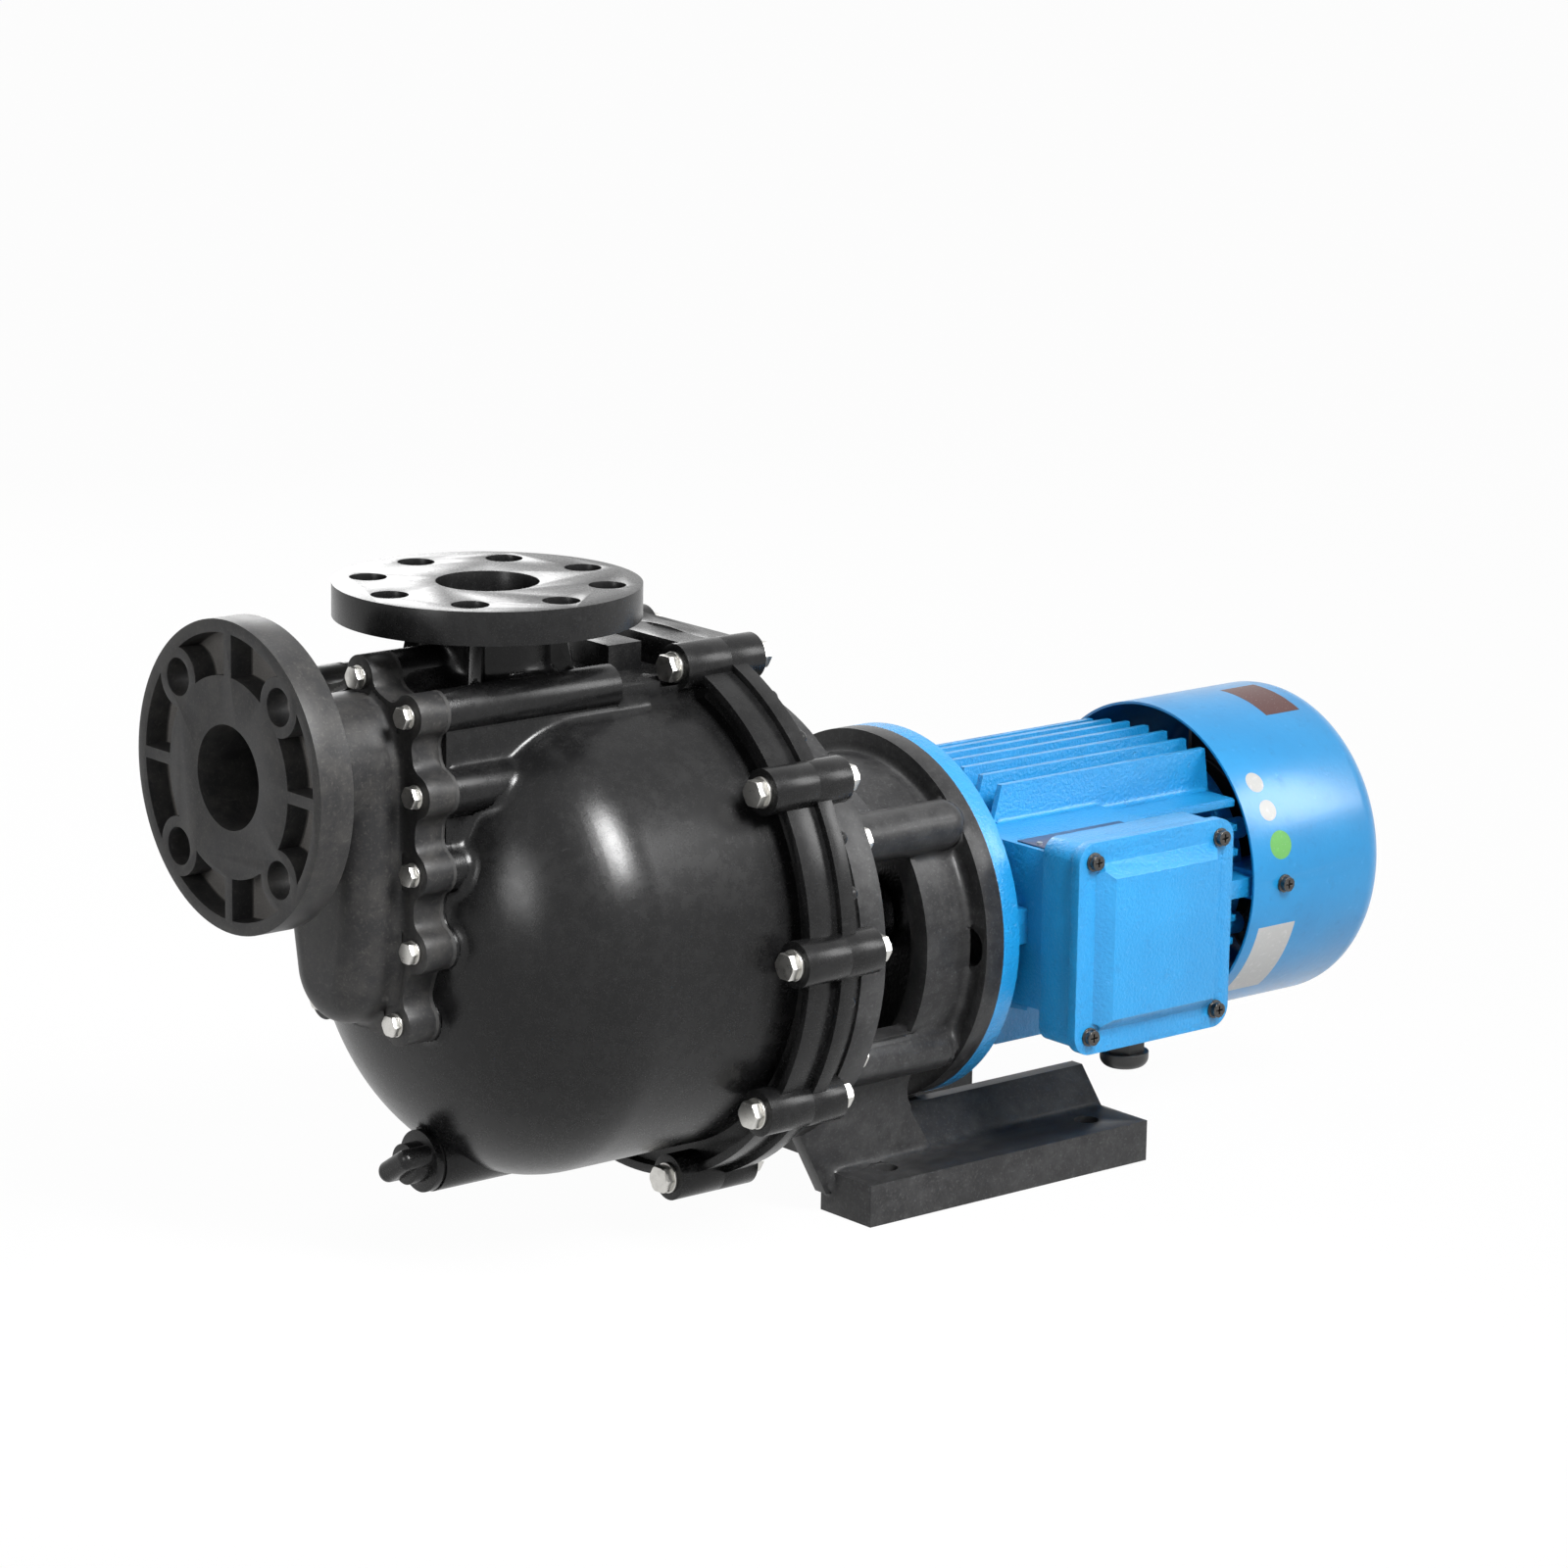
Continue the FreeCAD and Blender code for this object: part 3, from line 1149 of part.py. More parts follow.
def motor_frame():
    x0, x1 = frame_x(), frame_end()
    fin_x0 = x0 + FIN_BACK
    shapes = [rod(x0, x1, FRAME_R)] + fins(fin_x0, x1)
    shapes += [rod(x0, x1, TIE_BOSS_R, y, z) for y, z in tie_places()]
    rail = block(x1 - RAIL_L, x1, FRAME_R / 2, RAIL_REACH, SHAFT_Z - RAIL_H / 2, SHAFT_Z + RAIL_H / 2)
    shapes += at_cowl_screws(rail)
    ped_z0, ped_z1 = SHAFT_Z + PED_Z0, SHAFT_Z + PED_Z1
    shapes.append(block(ped_x0(), ped_x1(), -PED_Y, -FRAME_R * 0.7, ped_z0, ped_z1))
    shapes.append(platform())
    body = fuse(*shapes)
    bore = rod(x0 - 1, x1 + 1, FRAME_BORE_R)
    wires = ped_hollow(-PED_Y - 1, board_y())
    duct = pin_y(board_y() - 1, -FRAME_BORE_R + 4, DUCT_R, x0 + DUCT_R, SHAFT_Z)
    holes = [rod(x0 - 1, x1 + 1, M6["r"], y, z) for y, z in tie_places()]
    return cut(body, bore, wires, duct, *holes)


def slot_bar(x0, x1, in_r, out_r):
    return block(x0, x1, in_r, out_r, SHAFT_Z - SLOT_W / 2, SHAFT_Z + SLOT_W / 2)


def stator_core():
    x0 = frame_x() + STATOR_START
    core = ring(x0, x0 + STATOR_L, FRAME_BORE_R, ROTOR_GAP_R)
    return cut(core, *around(slot_bar(x0 - 1, x0 + STATOR_L + 1, SLOT_IN_R, SLOT_OUT_R), STATOR_SLOTS))


def stator_windings():
    x0 = frame_x() + STATOR_START
    x1 = x0 + STATOR_L
    ends = [ring(x0 - WINDING_L, x0, WINDING_OUT_R, WINDING_IN_R),
            ring(x1, x1 + WINDING_L, WINDING_OUT_R, WINDING_IN_R)]
    bars = around(slot_bar(x0 - 1, x1 + 1, SLOT_IN_R + COIL_GAP, SLOT_OUT_R - COIL_GAP), STATOR_SLOTS)
    return fuse(*ends, *bars)


def rotor_core():
    x0 = frame_x() + STATOR_START
    x1 = x0 + STATOR_L
    body = fuse(rod(x0, x1, ROTOR_R), ring(x0 - 6, x1 + 6, ROTOR_R - 4, CORE_SHAFT_R + 8))
    return cut(body, rod(x0 - 10, x1 + 10, CORE_SHAFT_R))


def fan_x():
    return frame_end() + REAR_SHIELD_T + ARM_L + 2


def shaft_end():
    return fan_x() + FAN_W + FAN_END


def motor_shaft():
    shaft = fuse(rod(MATE_X - MOTOR_SHAFT_L, MATE_X - MOTOR_SPIGOT_L, MOTOR_SHAFT_R),
                 rod(MATE_X - MOTOR_SPIGOT_L, front_bearing_x() + BEARING_W, SEAT_SHAFT_R),
                 rod(front_bearing_x() + BEARING_W, rear_bearing_x(), CORE_SHAFT_R),
                 rod(rear_bearing_x(), rear_bearing_x() + BEARING_W, SEAT_SHAFT_R),
                 rod(rear_bearing_x() + BEARING_W, shaft_end(), FAN_SHAFT_R))
    return cut(shaft, key_block())


def bearing_places():
    return [front_bearing_x(), rear_bearing_x()]


def ball_track_r():
    return (BEARING_R + SEAT_SHAFT_R) / 2


def raceway(x):
    return Part.makeTorus(ball_track_r(), BALL_R + RUN_GAP, V(x + BEARING_W / 2, 0, SHAFT_Z), V(1, 0, 0))


def bearing_outer_rings():
    return [cut(ring(x, x + BEARING_W, BEARING_R, BEARING_R - RACE_T), raceway(x)) for x in bearing_places()]


def bearing_inner_rings():
    return [cut(ring(x, x + BEARING_W, SEAT_SHAFT_R + RACE_T, SEAT_SHAFT_R), raceway(x))
            for x in bearing_places()]


def bearing_balls():
    balls = []
    for x in bearing_places():
        for y, z in spots(BALLS, ball_track_r()):
            balls.append(Part.makeSphere(BALL_R, V(x + BEARING_W / 2, y, z)))
    return balls


def rear_shield():
    x0, x1 = frame_end(), frame_end() + REAR_SHIELD_T
    plate = rod(x0, x1, FRAME_R)
    housing = rod(rear_bearing_x() - 2, x1 + 2, HOUSING_R)
    lugs = [rod(x0, x1, TIE_BOSS_R, y, z) for y, z in tie_places()]
    arm = block(x0, x1 + ARM_L, ARM_IN_R, COWL_R, SHAFT_Z - ARM_W / 2, SHAFT_Z + ARM_W / 2)
    arms = [a.common(rod(x0, x1 + ARM_L, COWL_R - COWL_WALL)) for a in at_cowl_screws(arm)]
    body = fuse(plate, housing, *lugs, *arms)
    holes = [rod(x0 - 1, x1 + 1, M6["r"] + HOLE_PLAY, y, z) for y, z in tie_places()]
    screw = pin_y(COWL_R - 14, COWL_R + 1, M5["r"], cowl_x() + COWL_SCREW_X, SHAFT_Z)
    holes += at_cowl_screws(screw)
    bearing = rod(rear_bearing_x(), rear_bearing_x() + BEARING_W, BEARING_R)
    shaft = rod(rear_bearing_x() - 20, x1 + 10, SEAT_SHAFT_R + 4)
    return cut(body, bearing, shaft, *holes)


def tie_bolts():
    seat = frame_end() + REAR_SHIELD_T
    return [bolt(M6, seat, flange_back() - 3, y, z) for y, z in tie_places()]


def cowl_x():
    return frame_end() - COWL_OVERLAP


def cooling_fan():
    x0 = fan_x()
    hub = rod(x0, x0 + FAN_W, FAN_HUB_R)
    disc = rod(x0, x0 + FAN_DISC_T, FAN_DISC_R)
    half = FAN_BLADE_T / 2
    blade = block(x0, x0 + FAN_W, FAN_HUB_R - 2, FAN_R, SHAFT_Z - half, SHAFT_Z + half)
    body = fuse(hub, disc, *around(blade, FAN_BLADES))
    return cut(body, rod(x0 - 1, x0 + FAN_W + 1, FAN_SHAFT_R))


def fan_circlip():
    x0 = fan_x() + FAN_W
    clip = ring(x0, x0 + CLIP_T, FAN_SHAFT_R + CLIP_W, FAN_SHAFT_R)
    half = CLIP_OPEN / 2
    return cut(clip, block(x0 - 1, x0 + CLIP_T + 1, -half, half, SHAFT_Z - FAN_SHAFT_R - CLIP_W - 1, SHAFT_Z))


def fan_cowl():
    x0, x1 = cowl_x(), cowl_x() + COWL_L
    shell = rod(x0, x1, COWL_R)
    rear_edge = [e for e in shell.Edges if abs(e.BoundBox.XMin - x1) < 0.01 and e.Length > COWL_R]
    shell = shell.makeFillet(COWL_ROUND, rear_edge)
    room = rod(x0 - 1, x1 - COWL_WALL, COWL_R - COWL_WALL)
    inner_edge = [e for e in room.Edges if abs(e.BoundBox.XMin - x1 + COWL_WALL) < 0.01 and e.Length > COWL_R]
    room = room.makeFillet(COWL_ROUND - COWL_WALL, inner_edge)
    slots = []
    for i in range(COWL_SLOT_RINGS):
        r = COWL_SLOT_IN_R + i * COWL_SLOT_PITCH
        slots.append(ring(x1 - 3 * COWL_WALL, x1 + 1, r + COWL_SLOT_W, r))
    half = COWL_SPOKE_W / 2
    spoke = block(x1 - 4 * COWL_WALL, x1 + 2, 0, COWL_R, SHAFT_Z - half, SHAFT_Z + half)
    keep = around(spoke, COWL_SPOKES)
    slots = [cut(s, *keep) for s in slots]
    screw = pin_y(COWL_R - 8, COWL_R + 1, M5["r"], x0 + COWL_SCREW_X, SHAFT_Z)
    return cut(shell, room, *slots, *at_cowl_screws(screw))


def cross(x, z, y0, y1):
    # cross recess of a small screw, from y0 to y1
    long, half = CROSS_L / 2, CROSS_W / 2
    return fuse(block(x - long, x + long, y0, y1, z - half, z + half),
                block(x - half, x + half, y0, y1, z - long, z + long))


def cowl_screws():
    x = cowl_x() + COWL_SCREW_X
    shank = pin_y(COWL_R - 13, COWL_R + 1, M5["r"], x, SHAFT_Z)
    head = pin_y(COWL_R, COWL_R + SCREW_HEAD, M5["af"] / 2, x, SHAFT_Z)
    flange = pin_y(COWL_R, COWL_R + M5["washer_t"], M5["washer_r"], x, SHAFT_Z)
    recess = cross(x, SHAFT_Z, COWL_R + SCREW_HEAD - CROSS_DEPTH, COWL_R + SCREW_HEAD + 1)
    return at_cowl_screws(cut(fuse(shank, head, flange), recess))


def motor_bolts():
    seat = flange_back() + M10["washer_t"]
    return [bolt(M10, seat, MATE_X - MOTOR_THREAD + 2, y, z) for y, z in motor_bolt_places()]


def motor_washers():
    return [washer(M10, flange_back(), y, z) for y, z in motor_bolt_places()]


# Terminal box

def ped_x0():
    return frame_x()


def ped_x1():
    return frame_x() + PED_L


def box_frame(grow):
    # x and z limits of the box, grown all round
    x0 = ped_x0() - BOX_FRONT - grow
    z1 = SHAFT_Z + PED_Z1 + BOX_RISE + grow
    return x0, x0 + BOX_L + 2 * grow, z1 - BOX_H - 2 * grow, z1


def rounded_box(grow, y0, y1, radius):
    x0, x1, z0, z1 = box_frame(grow)
    body = block(x0, x1, y0, y1, z0, z1)
    edges = [e for e in body.Edges if e.BoundBox.YLength > 0.9 * (y1 - y0) and e.BoundBox.XLength < 0.01]
    return body.makeFillet(radius, edges)


def ped_hollow(y0, y1):
    return block(ped_x0() + BOX_WALL, ped_x1() - BOX_WALL, y0, y1, SHAFT_Z + PED_Z0 + BOX_WALL,
                 SHAFT_Z + PED_Z1 - BOX_WALL)


def box_posts(y0, y1):
    # corner blocks that take the lid screws
    x0, x1, z0, z1 = box_frame(0.0)
    outline = rounded_box(0.0, y0, y1, BOX_ROUND)
    posts = []
    for x in (x0, x1 - BOX_POST):
        for z in (z0, z1 - BOX_POST):
            posts.append(block(x, x + BOX_POST, y0, y1, z, z + BOX_POST).common(outline))
    return posts


def box_back_y():
    return -PED_Y - BOX_DEPTH


def box_base():
    y0, y1 = box_back_y(), -PED_Y
    outer = rounded_box(0.0, y0, y1, BOX_ROUND)
    inner = rounded_box(-BOX_WALL, y0 - 1, y1 - BOX_BACK, BOX_ROUND - 3)
    holes = [pin_y(y0 - 1, y0 + LID_THREAD + 1, M5["r"], x, z) for x, z in lid_screw_places()]
    z0 = box_frame(0.0)[2]
    holes.append(post(z0 - 1, z0 + 2 * BOX_WALL, GLAND_STEM_R, GLAND_X, gland_y()))
    return cut(fuse(cut(outer, inner), *box_posts(y0, y1)), ped_hollow(y1 - BOX_BACK - 1, y1 + 1), *holes)


def gland_y():
    return -PED_Y - BOX_DEPTH / 2


def box_gasket():
    y1 = box_back_y()
    y0 = y1 - BOX_GASKET_T
    sheet = cut(rounded_box(0.0, y0, y1, BOX_ROUND), rounded_box(-BOX_WALL, y0 - 1, y1 + 1, BOX_ROUND - 3))
    holes = [pin_y(y0 - 1, y1 + 1, M5["r"] + HOLE_PLAY, x, z) for x, z in lid_screw_places()]
    return cut(fuse(sheet, *box_posts(y0, y1)), *holes)


def lid_screw_places():
    x0, x1, z0, z1 = box_frame(0.0)
    s = LID_SCREW_INSET
    return [(x, z) for x in (x0 + s, x1 - s) for z in (z0 + s, z1 - s)]


def box_lid():
    y1 = box_back_y() - BOX_GASKET_T
    y0 = y1 - LID_T
    plate = rounded_box(LID_OVER, y0, y1, BOX_ROUND + LID_OVER)
    x0, x1, z0, z1 = box_frame(LID_OVER)
    e, b = LID_EDGE, LID_EDGE + LID_BEVEL
    wires = []
    for y, inset in ((y0 + 1, e), (y0 - LID_RAISE, b)):
        points = [V(x0 + inset, y, z0 + inset), V(x1 - inset, y, z0 + inset), V(x1 - inset, y, z1 - inset),
                  V(x0 + inset, y, z1 - inset)]
        wires.append(Part.makePolygon(points + points[:1]))
    raised = Part.makeLoft(wires, True, True)
    room = block(x0 + b, x1 - b, y0 - LID_RAISE + LID_WALL, y1 + 1, z0 + b, z1 - b)
    holes = [pin_y(y0 - LID_RAISE - 1, y1 + 1, M5["r"] + HOLE_PLAY, x, z) for x, z in lid_screw_places()]
    counter = [pin_y(y0 - LID_RAISE - 1, y0, M5["washer_r"] + 2, x, z) for x, z in lid_screw_places()]
    return cut(fuse(plate, raised), room, *holes, *counter)


def lid_screws():
    seat = box_back_y() - BOX_GASKET_T - LID_T
    screws = []
    for x, z in lid_screw_places():
        shank = pin_y(seat, box_back_y() + LID_THREAD - 1, M5["r"], x, z)
        pad = pin_y(seat - M5["washer_t"], seat, M5["washer_r"], x, z)
        head = pin_y(seat - SCREW_HEAD, seat, M5["af"] / 2, x, z)
        recess = cross(x, z, seat - SCREW_HEAD - 1, seat - SCREW_HEAD + CROSS_DEPTH)
        screws.append(cut(fuse(shank, pad, head), recess))
    return screws


def board_y():
    # back wall of the pedestal's hollow, clear of the tie bolts
    return -TIE_R - TIE_BOSS_R - 1


def board_middle():
    return (ped_x0() + ped_x1()) / 2, SHAFT_Z + (PED_Z0 + PED_Z1) / 2


def board_block(x, length, depth):
    # piece of the board centred on x, standing out by its depth
    z = board_middle()[1]
    return block(x - length / 2, x + length / 2, board_y() - depth, board_y(), z - BOARD_H / 2, z + BOARD_H / 2)


def terminal_board():
    x = board_middle()[0]
    walls = [board_block(x + side * STUD_PITCH / 2, BOARD_WALL_T, BOARD_T + BOARD_WALL_H) for side in (-1, 1)]
    holes = [pin_y(board_y() - BOARD_T - 1, board_y() + 1, STUD_R, x, z) for x, z in stud_places()]
    return cut(fuse(board_block(x, BOARD_L, BOARD_T), *walls), *holes)


def stud_places():
    mid_x, mid_z = board_middle()
    return [(mid_x + STUD_PITCH * i, mid_z + side * STUD_ROWS / 2) for i in (-1, 0, 1) for side in (-1, 1)]


def terminal_studs():
    studs = []
    for x, z in stud_places():
        stud = pin_y(board_y() - BOARD_T - STUD_L, board_y(), STUD_R, x, z)
        nut = pin_y(board_y() - BOARD_T - STUD_NUT_T, board_y() - BOARD_T, STUD_R + 2, x, z)
        studs.append(fuse(stud, nut))
    return studs


def gland_z():
    # underside of the box at the cable gland
    return box_frame(0.0)[2]


def upright_hex(z0, z1, across, x, y):
    corner = across / math.sqrt(3.0)
    points = [V(x + corner * math.cos(math.radians(a)), y + corner * math.sin(math.radians(a)), z0)
              for a in range(0, 360, 60)]
    return Part.Face(Part.makePolygon(points + points[:1])).extrude(V(0, 0, z1 - z0))


def gland_post(z0, z1, r):
    return post(gland_z() + z0, gland_z() + z1, r, GLAND_X, gland_y())


def cable_gland_body():
    collar = upright_hex(gland_z() - GLAND_COLLAR, gland_z(), GLAND_AF, GLAND_X, gland_y())
    end = -GLAND_COLLAR - GLAND_THREAD
    body = fuse(gland_post(-1, BOX_WALL + 4, GLAND_STEM_R), collar, gland_post(end, -GLAND_COLLAR + 1, GLAND_STEM_R))
    return cut(body, gland_post(end - 1, BOX_WALL + 5, CABLE_R + GLAND_SEAL_T))


def cable_gland_nut():
    # flat domed cap screwed under the collar
    low = -GLAND_COLLAR - GLAND_CAP_H
    cap = gland_post(low, -GLAND_COLLAR, GLAND_CAP_R)
    edge = [e for e in cap.Edges if e.BoundBox.ZMax < gland_z() + low + 0.01]
    cap = cap.makeFillet(GLAND_CAP_ROUND, edge)
    room = gland_post(-GLAND_COLLAR - GLAND_THREAD, -GLAND_COLLAR + 1, GLAND_STEM_R)
    return cut(cap, room, gland_post(low - 1, -GLAND_COLLAR, CABLE_R + 0.5))


def cable_gland_seal():
    low, high = -GLAND_COLLAR - GLAND_THREAD, -GLAND_COLLAR + GLAND_THREAD
    return cut(gland_post(low, high, CABLE_R + GLAND_SEAL_T), gland_post(low - 1, high + 1, CABLE_R))


def motor_nameplate():
    z = SHAFT_Z + PED_Z1
    x0, y0 = ped_x0() + MOTOR_PLATE_IN, -PED_Y + MOTOR_PLATE_IN
    return block(x0, x0 + MOTOR_PLATE_L, y0, y0 + MOTOR_PLATE_W, z, z + PLATE_LABEL_T)


def motor_nameplate_rivets():
    z = SHAFT_Z + PED_Z1 + PLATE_LABEL_T
    x0, y = ped_x0() + MOTOR_PLATE_IN, -PED_Y + MOTOR_PLATE_IN + MOTOR_PLATE_W / 2
    return [post(z, z + RIVET_H, RIVET_R, x, y) for x in (x0 + RIVET_INSET, x0 + MOTOR_PLATE_L - RIVET_INSET)]


# Drain plug

def drain_seat_x():
    return DRAIN_BOSS_X - DRAIN_RING_T


def drain_wing(x0, x1):
    # thick rounded bar across the axis
    z, reach, half = drain_z(), WING_W / 2 - WING_T / 2, WING_T / 2
    bar = fuse(block(x0, x1, -reach, reach, z - half, z + half), rod(x0, x1, half, -reach, z),
               rod(x0, x1, half, reach, z))
    front = [e for e in bar.Edges if abs(e.BoundBox.XMax - x0) < 0.01]
    return around(bar.makeFillet(WING_ROUND, front), 1, z, WING_TURN)[0]


def drain_plug():
    z = drain_z()
    stem = rod(drain_seat_x(), DRAIN_BOSS_X + DRAIN_STEM_L, DRAIN_STEM_R, 0, z)
    head_x = drain_seat_x() - DRAIN_HEAD_T
    head = rod(head_x, drain_seat_x(), DRAIN_HEAD_R, 0, z)
    hub = rod(head_x - DRAIN_HUB_L, head_x, DRAIN_HUB_R, 0, z)
    return fuse(stem, head, hub, drain_wing(head_x - WING_L, head_x))


def drain_gasket():
    return ring(drain_seat_x(), DRAIN_BOSS_X, DRAIN_HEAD_R - DRAIN_RING_IN, DRAIN_STEM_R + RUN_GAP, 0, drain_z())


PARTS = [
    tank_body, suction_cover, suction_cover_gasket, cover_bolts, cover_washers, ring_bolts, ring_washers,
    ring_nuts, rear_cover, rear_cover_o_ring, volute_casing, volute_screws, impeller, impeller_cap, stub_shaft,
    stub_set_screws, shaft_sleeve, seal_gland, seal_gland_screws, seal_seat, seal_ring, seal_bellows,
    motor_bracket, bracket_bolts, bracket_washers, bracket_nameplate, bracket_nameplate_rivets, front_shield,
    oil_seal, motor_frame, stator_core, stator_windings, rotor_core, motor_shaft, bearing_outer_rings,
    bearing_inner_rings, bearing_balls, rear_shield, tie_bolts, cooling_fan, fan_circlip, fan_cowl, cowl_screws,
    motor_bolts, motor_washers, box_base, box_gasket, box_lid, lid_screws, terminal_board, terminal_studs,
    cable_gland_body, cable_gland_nut, cable_gland_seal, motor_nameplate, motor_nameplate_rivets,
    drain_plug, drain_gasket,
]


def shaft_key():
    return key_block()


for make in PARTS + [shaft_key]:
    made = make()
    shape = Part.makeCompound(made) if isinstance(made, list) else made
    shape.exportStep("parts/" + make.__name__ + ".step")
    print(make.__name__, len(shape.Solids), shape.isValid(), round(shape.Volume / 1000.0, 1))
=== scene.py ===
import json
import math

import bmesh
import bpy
import numpy as np
from mathutils import Matrix, Vector


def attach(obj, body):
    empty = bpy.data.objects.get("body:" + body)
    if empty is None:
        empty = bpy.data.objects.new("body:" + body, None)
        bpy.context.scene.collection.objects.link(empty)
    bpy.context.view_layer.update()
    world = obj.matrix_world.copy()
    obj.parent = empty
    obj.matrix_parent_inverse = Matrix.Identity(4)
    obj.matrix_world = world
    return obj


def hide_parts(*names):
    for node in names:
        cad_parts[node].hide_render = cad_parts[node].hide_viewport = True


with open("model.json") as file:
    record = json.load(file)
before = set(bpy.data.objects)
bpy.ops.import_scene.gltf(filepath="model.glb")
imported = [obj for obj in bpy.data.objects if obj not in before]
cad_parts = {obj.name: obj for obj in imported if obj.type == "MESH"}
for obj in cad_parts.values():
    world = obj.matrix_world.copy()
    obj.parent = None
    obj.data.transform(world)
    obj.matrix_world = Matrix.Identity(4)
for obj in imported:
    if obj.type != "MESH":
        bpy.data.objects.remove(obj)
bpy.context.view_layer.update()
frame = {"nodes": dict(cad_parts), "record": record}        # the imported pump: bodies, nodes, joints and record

# Places on the pump in metres, the same as in the solids
SHAFT_Z = 0.139
TANK_Z = 0.168           # axis of the round tank
TANK_MIDDLE = (-0.25, 0, TANK_Z)
TANK_RIM_X = -0.214      # the clamped rim starts here
DRAIN_TOP_Z = 0.085      # above the drain boss
COVER_BOSSES_X = -0.3425
COVER_FACE_X = -0.3455   # where the suction cover meets its gasket
DISCHARGE_UNDER_Z = 0.332
SUCTION_Z = 0.27
SUCTION_BACK_X = -0.419
SUCTION_BORE_R = 0.0275
POCKET_X = -0.425        # floors of the pockets in the suction flange
POCKET_R = (0.050, 0.0716)
BRACKET_BORE_R = 0.075
BRACKET_Z = (0.0005, 0.30)
SHIELD_FACE_X = -0.0194  # motor flange against the bracket
FRAME_BORE_R = 0.0585
COWL_R = 0.088

# The photo's camera, in metres, degrees and millimetres
CAMERA_PLACE = (-1.93627, -2.19536, 0.89754)
CAMERA_TURN = (-41.1, 12.69, 1.17)       # azimuth, elevation and roll
CAMERA_LENS = 129.0
CAMERA_SENSOR = 36
CAMERA_SHIFT = (-0.0611, -0.0383)


# Finishes

WHITE = (1, 1, 1, 1)


class Value:
    """A socket of a node, so that sums in a finish read as sums."""

    def __init__(self, nodes, socket):
        self.nodes = nodes
        self.socket = socket

    def work(self, operation, left, right):
        return self.nodes.node("Math", {"operation": operation, "use_clamp": False}, {0: left, 1: right})

    def __add__(self, other):
        return self.work("ADD", self, other)

    __radd__ = __add__

    def __sub__(self, other):
        return self.work("SUBTRACT", self, other)

    def __rsub__(self, other):
        return self.work("SUBTRACT", other, self)

    def __mul__(self, other):
        return self.work("MULTIPLY", self, other)

    __rmul__ = __mul__

    def __or__(self, other):
        """The larger of two values."""
        return self.work("MAXIMUM", self, other)


class Nodes:
    """A node tree. Every node is made by one method."""

    def __init__(self, tree):
        self.tree = tree

    def node(self, kind, settings=None, inputs=None, output=0):
        made = self.tree.nodes.new("ShaderNode" + kind)
        for name, value in (settings or {}).items():
            setattr(made, name, value)
        for key, value in (inputs or {}).items():
            self.feed(made.inputs[key], value)
        return Value(self, made.outputs[output])

    def feed(self, socket, value):
        if isinstance(value, Value):
            self.tree.links.new(value.socket, socket)
        else:
            socket.default_value = value

    def rays_from_sight(self):
        """1 for the rays that show the background: to the camera, in gloss and through glass."""
        kinds = ("Is Camera Ray", "Is Glossy Ray", "Is Transmission Ray")
        camera, gloss, glass = (self.node("LightPath", output=kind) for kind in kinds)
        return camera | gloss | glass


class Finish(Nodes):
    """A procedural finish of a surface."""

    def __init__(self, name, **fixed):
        self.material = bpy.data.materials.new(name)
        self.material.use_nodes = True
        super().__init__(self.material.node_tree)
        self.surface = self.tree.nodes["Principled BSDF"]
        self.cover(**fixed)

    def spot(self):
        """The place on the piece in metres."""
        return self.node("TexCoord", output="Object")

    def grain(self, size, detail=2.0, rough=0.5, stretch=(1, 1, 1), twist=0.0):
        """Noise from 0 to 1 with grains of the given size in metres."""
        drawn = self.node("Mapping", inputs={"Vector": self.spot(), "Scale": stretch})
        return self.node("TexNoise", inputs={
            "Vector": drawn, "Scale": 1 / size, "Detail": detail, "Roughness": rough, "Distortion": twist})

    def step(self, value, low, high):
        """Rises from 0 to 1 between low and high, or falls where low is the larger."""
        return self.node("MapRange", {"clamp": True}, {"Value": value, "From Min": low, "From Max": high})

    def mix(self, factor, first, second):
        """Colour between two colours."""
        ends = [c if isinstance(c, Value) else (*c, 1) for c in (first, second)]
        return self.node("Mix", {"data_type": "RGBA"}, {0: factor, 6: ends[0], 7: ends[1]}, output=2)

    def along(self, axis):
        """The place along the pump's X, Y or Z in metres."""
        return self.node("SeparateXYZ", inputs={0: self.spot()}, output=axis)

    def off_axis(self, height):
        """How far a place lies from the line along X at a height."""
        across = {"Vector": self.spot(), "Location": (0, 0, -height), "Scale": (0, 1, 1)}
        flat = self.node("Mapping", inputs=across)
        return self.node("VectorMath", {"operation": "LENGTH"}, {0: flat}, output="Value")

    def relief(self, height, depth, strength=1.0, under=None):
        """Bump of the given depth in metres."""
        inputs = {"Height": height, "Distance": depth, "Strength": strength}
        if under:
            inputs["Normal"] = under
        return self.node("Bump", inputs=inputs)

    def cover(self, **sockets):
        """Feeds the surface, such as Base_Color=value, and gives its material."""
        for name, value in sockets.items():
            self.feed(self.surface.inputs[name.replace("_", " ")], value)
        return self.material


